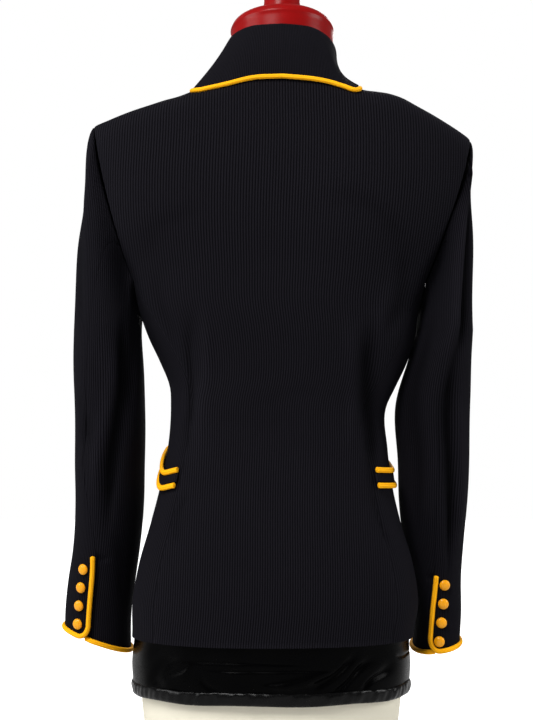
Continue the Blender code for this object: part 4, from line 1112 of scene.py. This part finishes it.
def makeCuffTrim(side):
    plan = sleevePlan
    lift = trimCut["halfHeight"] + trimCut["layer"]
    heights = np.linspace(plan["ventTop"][side], cuffEdge(side, 90.0) + plan["corner"], 40)
    ventAngle = through(elbowSeam, side, alongAt(side, 90.0, heights)) - 2.6
    last = float(ventAngle[-1])
    corner = np.radians(np.linspace(4, 90, 24))
    reach = np.degrees(plan["corner"] / plan["radius"])
    cornerAngle = last - reach * (1 - np.cos(corner))
    cornerHeight = cuffEdge(side, cornerAngle) + plan["corner"] * (1 - np.sin(corner))
    hemAngle = np.linspace(cornerAngle[-1] - 3, plan["frontSeam"] - 360 + 2, 120)
    angles = np.concatenate([ventAngle, cornerAngle, hemAngle])
    heights = np.concatenate([heights, cornerHeight + plan["pipingRise"],
                              cuffEdge(side, hemAngle) + plan["pipingRise"]])
    along = alongAt(side, angles, heights)
    lift = lift - 0.0018 * ease(np.arange(len(angles)), 46, 66)
    trimCord(f"cuffPiping.{side}", lambda out: sleevePoint(side, angles, along, out), lift,
             f"cuff_piping_{side}")
    under = np.linspace(last - 5.0, plan["frontSeam"] - 2, 90)
    underAlong = alongAt(side, under, cuffEdge(side, under) + plan["pipingRise"])
    lift = trimCut["halfHeight"] - 0.0013 - 0.0030 * ease(under, last + 6.0, last - 3.0)
    trimCord(f"underCuffPiping.{side}", lambda out: sleevePoint(side, under, underAlong, out), lift,
             f"under_cuff_piping_{side}")


# A side's numbers are the top button's height, the step down, and the first and last angle
buttonCut = {"sleeve": 0.0058, "front": 0.0085, "rim": 0.18, "dome": 0.52, "lift": 0.0009, "frontLift": 0.001,
             "left": (0.0699, -0.0195, 67.0, 67.0), "right": (0.0528, -0.0202, 87.0, 97.0),
             "frontHeights": (0.290, 0.215, 0.140)}


# A dome over a short rounded rim: radius r sin t, height r (rim + dome cos t).
def buttonProfile(radius):
    t = np.radians(np.linspace(0, 90, 16))
    dome = joined(radius * np.sin(t), radius * (buttonCut["rim"] + buttonCut["dome"] * np.cos(t)))
    dome[0, 0] = radius * 0.02
    rim = [(radius * 0.995, radius * 0.12), (radius * 0.96, radius * 0.05), (radius * 0.90, 0.0)]
    return np.concatenate([dome, rim])


# Two points on one line out of the surface set where a button sits and which way it faces.
def sewButton(name, surface, lift, kind, node, sides):
    near = surface(lift)
    turnedPiece(name, buttonProfile(buttonCut[kind]), facing(near, surface(lift + 0.01) - near),
                "yellow_button", [node], sides=sides)


def makeSleeveButtons(side):
    top, step, first, last = buttonCut[side]
    for number in range(4):
        degrees = np.array(first + (last - first) * number / 3)
        along = alongAt(side, degrees, top + step * number)
        sewButton(f"sleeveButton.{side}.{number + 1}", lambda lift: sleevePoint(side, degrees, along, lift),
                  buttonCut["lift"], "sleeve", f"sleeve_button_{side}_{number + 1}", 32)


def makeFrontButtons():
    middle = np.array(0.0)
    for number, height in enumerate(buttonCut["frontHeights"]):
        sewButton(f"frontButton.{number + 1}", lambda lift: frontPoint("right", middle, np.array(height), lift),
                  float(overlapLift("right", middle)) + buttonCut["frontLift"], "front",
                  f"front_button_{number + 1}", 40)


for side in sign:
    makeSleevePart(side, "upper")
    makeSleevePart(side, "under")
    makeCuffTrim(side)
    makeSleeveButtons(side)
makeFrontButtons()
print("sleeves and buttons made")


# Collar

collarCut = tableOf(
    "round foldX foldY foldHeight rightDrop leftX leftTurn rightX rightTurn",
    (0.000, 0.0000, 0.0660, 0.6670, 0.0000, 0.0000, 97.3, 0.0000, 97.3),
    (0.100, 0.0171, 0.0633, 0.6674, 0.0005, 0.0198, 88.9, 0.0175, 91.8),
    (0.200, 0.0330, 0.0585, 0.6680, 0.0015, 0.0396, 81.2, 0.0347, 85.9),
    (0.300, 0.0465, 0.0489, 0.6676, 0.0030, 0.0589, 75.1, 0.0507, 79.5),
    (0.400, 0.0570, 0.0345, 0.6668, 0.0045, 0.0773, 70.0, 0.0659, 75.0),
    (0.475, 0.0622, 0.0192, 0.6662, 0.0050, 0.0916, 64.0, 0.0765, 71.0),
    (0.550, 0.0650, 0.0020, 0.6650, 0.0050, 0.1005, 48.0, 0.0835, 54.0),
    (0.620, 0.0650, -0.0143, 0.6630, 0.0040, 0.1020, 10.0, 0.0868, 12.0),
    (0.700, 0.0620, -0.0330, 0.6560, 0.0030, 0.1015, -34.0, 0.0880, -34.0),
    (0.850, 0.0550, -0.0660, 0.6200, 0.0000, 0.0950, -82.0, 0.0885, -82.0),
    (1.000, 0.0500, -0.0905, 0.5665, 0.0000, 0.0830, -112.0, 0.0820, -112.0))
collarPlan = {"lean": -0.0119, "lift": 0.0032, "stand": 0.0056, "foot": 0.622, "standHeight": 0.012,
              "trimReach": 0.0030, "backBow": 0.0026, "rightBow": -0.0075, "ribCount": 96,
              "middleY": -0.004, "endShort": 0.0065, "foldRound": 0.0022, "foldSink": 0.0006, "standStart": 0.003,
              "pipingLift": 0.0005, "pressed": 0.0026}


def collarAt(name, place):
    return through(collarCut, name, np.abs(place))


def collarFold(place):
    drop = np.where(place < 0, collarAt("rightDrop", place), 0)
    return joined(np.sign(place) * collarAt("foldX", place) + collarPlan["lean"], collarAt("foldY", place),
                  collarAt("foldHeight", place) - drop)


# The shoulder's surface moved out along its normal, across in metres and turn in radians.
def shoulderLifted(across, turn, lift):
    def surface(first, second):
        return shoulderPoint(first, np.degrees(second))
    return lifted(surface, across, turn, -np.asarray(lift))


# The trim's line lies just outside the collar's edge: within is how far inside that line.
def collarRim(place, within, lift):
    across = np.where(place > 0, collarAt("leftX", place), -collarAt("rightX", place))
    turn = np.where(place > 0, collarAt("leftTurn", place), collarAt("rightTurn", place))
    sideways = ease(np.abs(place), 0.45, 0.62) * (1 - 0.8 * ease(np.abs(place), 0.72, 0.9))
    across = across - np.sign(place) * within * sideways
    down = np.sign(turn) * within * np.sqrt(1 - sideways ** 2)
    return shoulderLifted(across, np.radians(turn) - down / bodyPlan["shoulderRound"], lift)


# The fall: down is 0 at the fold and 1 at the outer edge, on a line bowed outwards or inwards.
def collarSurface(place, down, lift=0.0):
    fold, rim = collarFold(place), collarRim(place, collarPlan["trimReach"], collarPlan["lift"])
    point = fold + (rim - fold) * down[..., None]
    inward = joined(collarPlan["lean"] + 0 * place, 0 * place + collarPlan["middleY"], point[..., 2] - 0.02)
    away = unit(point - inward)
    bow = collarPlan["backBow"] * ease(np.abs(place), 0.5, 0.2)
    bow = bow + collarPlan["rightBow"] * ease(-place, 0.28, 0.50) * ease(-place, 0.80, 0.62)
    return point + away * (bow * np.sin(np.pi * np.clip(down, 0, 1)) + lift)[..., None]


def makeCollar():
    plan = collarPlan
    places = np.linspace(-1, 1, 221)
    rows = [collarSurface(places, np.full_like(places, down)) for down in np.linspace(1.0, 0.04, 30)]
    fold = collarFold(places)
    middle = joined(collarPlan["lean"] + 0 * places, 0 * places + collarPlan["middleY"], fold[:, 2])
    away = unit(fold - middle)
    up = np.array([0, 0, 1.0])
    stand = plan["stand"]
    # Over the fold: a half circle from the fall to the stand
    for turn in np.radians(np.linspace(18, 162, 7)):
        over = plan["foldRound"] * np.sin(turn) - plan["foldSink"]
        rows.append(fold - away * stand * (0.5 - 0.5 * np.cos(turn)) + up * over)
    tall = plan["standHeight"] - plan["endShort"] * ease(np.abs(places), 0.6, 1.0)
    foot = np.minimum(plan["foot"], fold[:, 2] - tall)
    for share in np.linspace(0.02, 1, 12):
        row = fold - away * stand
        row[:, 2] = fold[:, 2] - plan["standStart"] + (foot - fold[:, 2] + plan["standStart"]) * share
        rows.append(row)
    points = np.array(rows)
    uv = ribMap(points, places * collarPlan["ribCount"])
    core = bodyCore(points)
    core[30:] = 2 * points[30:] - core[30:]
    clothPiece("turnedCollar", points, uv, core, "black_knit", ["collar"])
    places = np.linspace(-1, 1, 260)
    # Pressed flatter where it passes over the shoulder
    pressed = ease(np.abs(places), 0.50, 0.60) * ease(np.abs(places), 0.92, 0.78)
    lift = trimCut["halfHeight"] + plan["pipingLift"] - plan["pressed"] * pressed
    trimCord("collarPiping", lambda out: collarRim(places, 0.0, out), lift, "collar_piping")


makeCollar()
print("collar made")


# Waist tabs

tabCut = {"foot": 0.1622, "width": 0.0092, "reach": 0.30, "halfWidth": 0.0030, "halfHeight": 0.0022,
          "beside": 0.0036, "lift": 0.0035}
tabRise = tableOf("along left right", (0.0, 0.000, 0.000), (0.24, -0.001, 0.0005), (0.33, 0.005, 0.001),
                  (0.42, 0.015, 0.003), (0.52, 0.024, 0.009), (0.8, 0.036, 0.030), (1.0, 0.048, 0.048))


def tabAngle(side, along):
    height = tabCut["foot"] + tabCut["width"] / 2
    start = float(angleAt(edgeAcross("backEdge", height), height)) + np.radians(1.5)
    end = np.pi / 2 * (1 + tabCut["reach"]) + 0.35
    return sign[side] * (start + (end - start) * along)


def makeTab(side):
    along = np.linspace(0, 1, 90)
    rise = through(tabRise, side, along)
    heights = tabCut["foot"] + rise[None, :] + np.linspace(0, tabCut["width"], 12)[:, None]
    angles = np.broadcast_to(tabAngle(side, along), heights.shape)
    points = bodyLifted(angles, heights, tabCut["lift"] + 0 * heights)
    uv = ribMap(points, along * ribs["tab"])
    clothPiece(f"waistTab.{side}", points, uv, bodyCore(points), "black_knit", [f"waist_tab_{side}"])
    beside = tabCut["beside"]
    for name, at in (("lower", -beside), ("upper", tabCut["width"] + beside)):
        along = np.linspace(0.01, 0.99, 100)
        heights = tabCut["foot"] + through(tabRise, side, along) + at
        trimCord(f"waistTrim.{name}.{side}",
                 lambda out: bodyLifted(tabAngle(side, along), heights, out + 0 * along),
                 tabCut["halfHeight"] + 0.001, f"waist_trim_{name}_{side}", cut=tabCut, blunt=0.2)


for side in sign:
    makeTab(side)
print("waist tabs made")


# Satin lining below the hem

liningCut = {"top": 0.020, "inset": 0.0040, "edge": -0.0575, "turn": 0.0125, "wall": 0.0012,
             "threads": 850, "thread": 0.001}
hemRoll = {"puckers": 84, "pucker": 0.0005, "wave": 0.0004, "slowWave": 0.0005, "radius": 0.0024, "sink": -0.0042,
           "tall": 0.52, "wander": 0.0006}
# Creases as across, height, across, height, width, depth. The front half is the unseen side.
satinFolds = {
    "back": (
        (0.060, -0.022, -0.062, -0.023, 0.0014, 0.0016),
        (0.090, -0.014, -0.030, -0.016, 0.0020, 0.0012),
        (-0.040, -0.042, -0.085, -0.010, 0.0050, 0.0030),
        (-0.064, -0.044, -0.100, -0.014, 0.0042, 0.0032),
        (-0.090, -0.044, -0.122, -0.020, 0.0045, 0.0026),
        (0.010, -0.040, -0.060, -0.028, 0.0045, -0.0022),
        (0.125, -0.040, 0.095, -0.010, 0.0060, 0.0024),
        (0.108, -0.044, 0.080, -0.020, 0.0050, -0.0020),
        (-0.128, -0.014, -0.150, -0.016, 0.0020, 0.0014),
        (0.050, -0.044, 0.075, -0.030, 0.0050, 0.0014),
    ),
    "front": (
        (0.100, -0.040, 0.060, -0.012, 0.0055, 0.0026),
        (0.040, -0.042, 0.010, -0.020, 0.0050, 0.0022),
        (-0.030, -0.040, -0.070, -0.012, 0.0055, 0.0028),
        (-0.090, -0.044, -0.125, -0.018, 0.0045, 0.0024),
        (0.070, -0.022, -0.050, -0.024, 0.0016, 0.0014),
    ),
}


def satinRelief(points):
    across, height = points[..., 0], points[..., 2]
    angle = np.arctan2(across, points[..., 1])
    slow = 0.0006 * np.sin(9 * angle + 60 * height) + 0.0004 * np.sin(17 * angle - 40 * height + 1)
    return slow - twoSided(satinFolds, points, 0.010)


def makeLining():
    angle = np.linspace(0, 2 * np.pi, 420, endpoint=False)
    heights = np.linspace(liningCut["edge"] + liningCut["turn"] * 0.85, liningCut["top"], 60)
    angles, heights = np.meshgrid(angle, heights)
    points = bodyLifted(angles, heights, -liningCut["inset"] + 0 * angles)
    core = bodyCore(points)
    length = lengthUp(points)
    points = points + gridNormals(points, core, closed=True) * satinRelief(points)[..., None]
    wide = np.linspace(0, liningCut["threads"], 421)[None, :] + np.zeros((60, 1))
    uv = joined(wide, np.concatenate([length, length[:, :1]], axis=1) / liningCut["thread"])
    clothPiece("liningBand", points, uv, core, "black_satin", ["lining_band"],
               liningCut["wall"], closed=True, lip=0)
    # The turned edge: an oval ring of cloth, with puckers that slant across it
    angle = np.linspace(0, 2 * np.pi, 560, endpoint=False)
    turn = np.linspace(-np.pi, np.pi, 25)
    angles, turns = np.meshgrid(angle, turn)
    middle = liningCut["edge"] + liningCut["turn"] / 2
    roll = hemRoll
    slant = angles * roll["puckers"] + 1.6 * np.sin(turns) + 1.5 * np.sin(5 * angles)
    gathered = 0.45 + 0.55 * np.clip(np.sin(3 * angles + 0.6) + 0.5 * np.sin(7 * angles), 0, 1)
    pucker = (roll["pucker"] * gathered * np.sin(slant) + roll["wave"] * np.sin(31 * angles + 2 * turns)
              + roll["slowWave"] * np.sin(11 * angles))
    up = liningCut["turn"] * roll["tall"] * np.sin(turns) + roll["wander"] * np.sin(9 * angles)
    rings = bodyLifted(angles, middle + up, roll["sink"] + (roll["radius"] + pucker) * np.cos(turns))
    perimeter = np.linspace(0, liningCut["threads"], 561)[None, :] + np.zeros((25, 1))
    uv = joined(perimeter, np.linspace(0, 29, 25)[:, None] + 0 * perimeter)
    mesh = bpy.data.meshes.new("liningHem")
    rings = rings[:-1]
    quads = gridQuads(*rings.shape[:2], closed=True, looped=True)
    reverse = (0, 3, 2, 1)
    mesh.from_pydata((rings + shift).reshape(-1, 3).tolist(), [], quads[:, reverse].tolist())
    addMap(mesh, mapLoops(uv)[:, reverse])
    piece = finishPiece(mesh, "liningHem", "black_satin", ["lining_hem"])
    piece.data.materials[0] = materials["turned_satin"]  # the same satin, stretched smooth over the roll


makeLining()
print("lining made")


# Dress form

formCut = tableOf(
    "height halfWidth back front lean",
    (0.360, 0.1420, 0.084, 0.104, -0.0097), (0.420, 0.1450, 0.088, 0.104, -0.0105),
    (0.480, 0.1500, 0.086, 0.090, -0.0125), (0.530, 0.1500, 0.076, 0.074, -0.0140),
    (0.560, 0.1380, 0.068, 0.066, -0.0138), (0.580, 0.1120, 0.062, 0.058, -0.0134),
    (0.594, 0.0820, 0.056, 0.052, -0.0134), (0.606, 0.0600, 0.051, 0.050, -0.0134),
    (0.622, 0.0515, 0.048, 0.048, -0.0134), (0.650, 0.0500, 0.047, 0.048, -0.0134))
formPlan = {
    "ease": 0.011, "capFoot": 0.6503, "sides": 128, "threads": 850, "thread": 0.001,
    "cap": ((0.0, 0.0500), (0.0300, 0.0497), (0.0480, 0.0486), (0.0552, 0.0464), (0.0588, 0.0424),
            (0.0597, 0.0396), (0.0599, 0.0388), (0.0607, 0.0381), (0.0609, 0.0370),
            (0.0607, 0.0359), (0.0600, 0.0351), (0.0599, 0.0340), (0.0597, 0.0200), (0.0590, 0.0)),
    "knob": ((0.0, 0.0560), (0.0120, 0.0545), (0.0190, 0.0500), (0.0225, 0.0430), (0.0222, 0.0360),
             (0.0212, 0.0300), (0.0212, 0.0240), (0.0222, 0.0160), (0.0228, 0.0040), (0.0230, 0.0)),
}


def makeForm():
    sides = formPlan["sides"]
    angle = np.linspace(0, 2 * np.pi, sides, endpoint=False)
    rings = [bodyLifted(angle, formFoot + 0 * angle, -formPlan["ease"] - 0.002 + 0 * angle)]
    low = np.concatenate([[formFoot + 0.0015, formFoot + 0.004], np.linspace(-0.12, 0.32, 60)])
    for height in low:
        inset = formPlan["ease"] + (0.0007 if height < formFoot + 0.002 else 0.0)
        rings.append(bodyLifted(angle, height + 0 * angle, -inset + 0 * angle))
    for height in np.linspace(0.360, 0.650, 50):
        power = 2 / (2.3 - 0.3 * ease(height, 0.56, 0.61))
        size = {n: through(formCut, n, height) for n in ("halfWidth", "back", "front", "lean")}
        depth = np.where(np.cos(angle) > 0, size["back"], size["front"])
        x = size["lean"] + size["halfWidth"] * powered(np.sin(angle), power)
        y = depth * powered(np.cos(angle), power)
        rings.append(joined(x, y, height + 0 * x))
    rings = np.array(rings)[:, ::-1]
    u, v = np.meshgrid(np.linspace(0, formPlan["threads"], sides + 1), rings[:, 0, 2] / formPlan["thread"])
    ringPiece("formBody", rings, joined(u, v), "cream_linen", ["form_body"])
    foot = Matrix.Translation((*capCentre, formPlan["capFoot"]))
    turnedPiece("formNeckCap", softProfile(formPlan["cap"]), foot, "red_lacquer", ["form_neck_cap"], sides=128)
    top = Matrix.Translation((*capCentre, formPlan["capFoot"] + formPlan["cap"][0][1] + 0.0003))
    turnedPiece("formKnob", softProfile(formPlan["knob"]), top, "red_lacquer", ["form_knob"], sides=96)


makeForm()
print("dress form made")
# Light, floor and camera

studio = {
    "key": {"place": (1.1, 2.2, 2.7), "size": 1.2, "power": 112},
    "leftWindow": {"place": (2.3, 0.9, 1.3), "size": 1.2, "power": 38},
    "rightWindow": {"place": (-2.3, 0.7, 1.2), "size": 1.0, "power": 32},
    "frontFill": {"place": (-0.4, -2.6, 1.9), "size": 1.6, "power": 50},
    "worldLight": 0.24, "floorGlow": 0.45, "floorSeen": 1.3, "floorGrey": 0.35,
    "floorRadius": 14, "aim": (0, 0, 0.42),
}


def makeLight(name):
    look = studio[name]
    light = bpy.data.lights.new(name, "AREA")
    light.shape = "SQUARE"
    light.size = look["size"]
    light.energy = look["power"]
    lamp = inScene(name, light)
    lamp.location = look["place"]
    lamp.rotation_euler = (Vector(look["place"]) - Vector(studio["aim"])).to_track_quat("Z", "Y").to_euler()


for name in ("key", "leftWindow", "rightWindow", "frontFill"):
    makeLight(name)

world = bpy.data.worlds.new("paleRoom")
bpy.context.scene.world = world
world.use_nodes = True
tree = world.node_tree
sky = tree.nodes["Background"]
sky.inputs[1].default_value = studio["worldLight"]
plain = addNode(tree, "ShaderNodeBackground", in1=1.0)
plain.inputs[0].default_value = (1, 1, 1, 1)
sky.inputs[0].default_value = (1, 1, 1, 1)
path = addNode(tree, "ShaderNodeLightPath")
both = addNode(tree, "ShaderNodeMixShader", {0: path.outputs["Is Camera Ray"], 1: sky.outputs[0],
                                             2: plain.outputs[0]})
tree.links.new(both.outputs[0], tree.nodes["World Output"].inputs[0])

floorMesh = bpy.data.meshes.new("floor")
ring = np.linspace(0, 2 * np.pi, 96, endpoint=False)
floorRing = studio["floorRadius"] * joined(np.cos(ring), np.sin(ring), 0 * ring)
floorMesh.from_pydata(floorRing.tolist(), [], [tuple(range(len(ring)))])
floorMaterial, tree, shader = newMaterial("paleFloor")
shader.inputs["Base Color"].default_value = (*[studio["floorGrey"]] * 3, 1)
shader.inputs["Roughness"].default_value = 0.9
shader.inputs["Emission Color"].default_value = (1, 1, 1, 1)
path = addNode(tree, "ShaderNodeLightPath")
glow = addNode(tree, "ShaderNodeMapRange", {0: path.outputs["Is Camera Ray"]}, in3=studio["floorGlow"],
               in4=studio["floorSeen"])
tree.links.new(glow.outputs[0], shader.inputs["Emission Strength"])
floorMesh.materials.append(floorMaterial)
inScene("floor", floorMesh)

# The photograph's view: from behind, a little below the waist and pitched up
view = {"place": (0.005, 1.17, 0.144), "pitch": 7.6, "lens": 52.5}
camera = inScene("camera", bpy.data.cameras.new("camera"))
camera.location = Vector(view["place"]) + Vector(shift)
camera.rotation_euler = (math.radians(90 + view["pitch"]), 0, math.pi)
camera.data.lens = view["lens"]
camera.data.sensor_width = 36
camera.data.clip_start = 0.01
bpy.context.scene.camera = camera
bpy.context.scene.view_settings.view_transform = "Standard"
print("studio made")
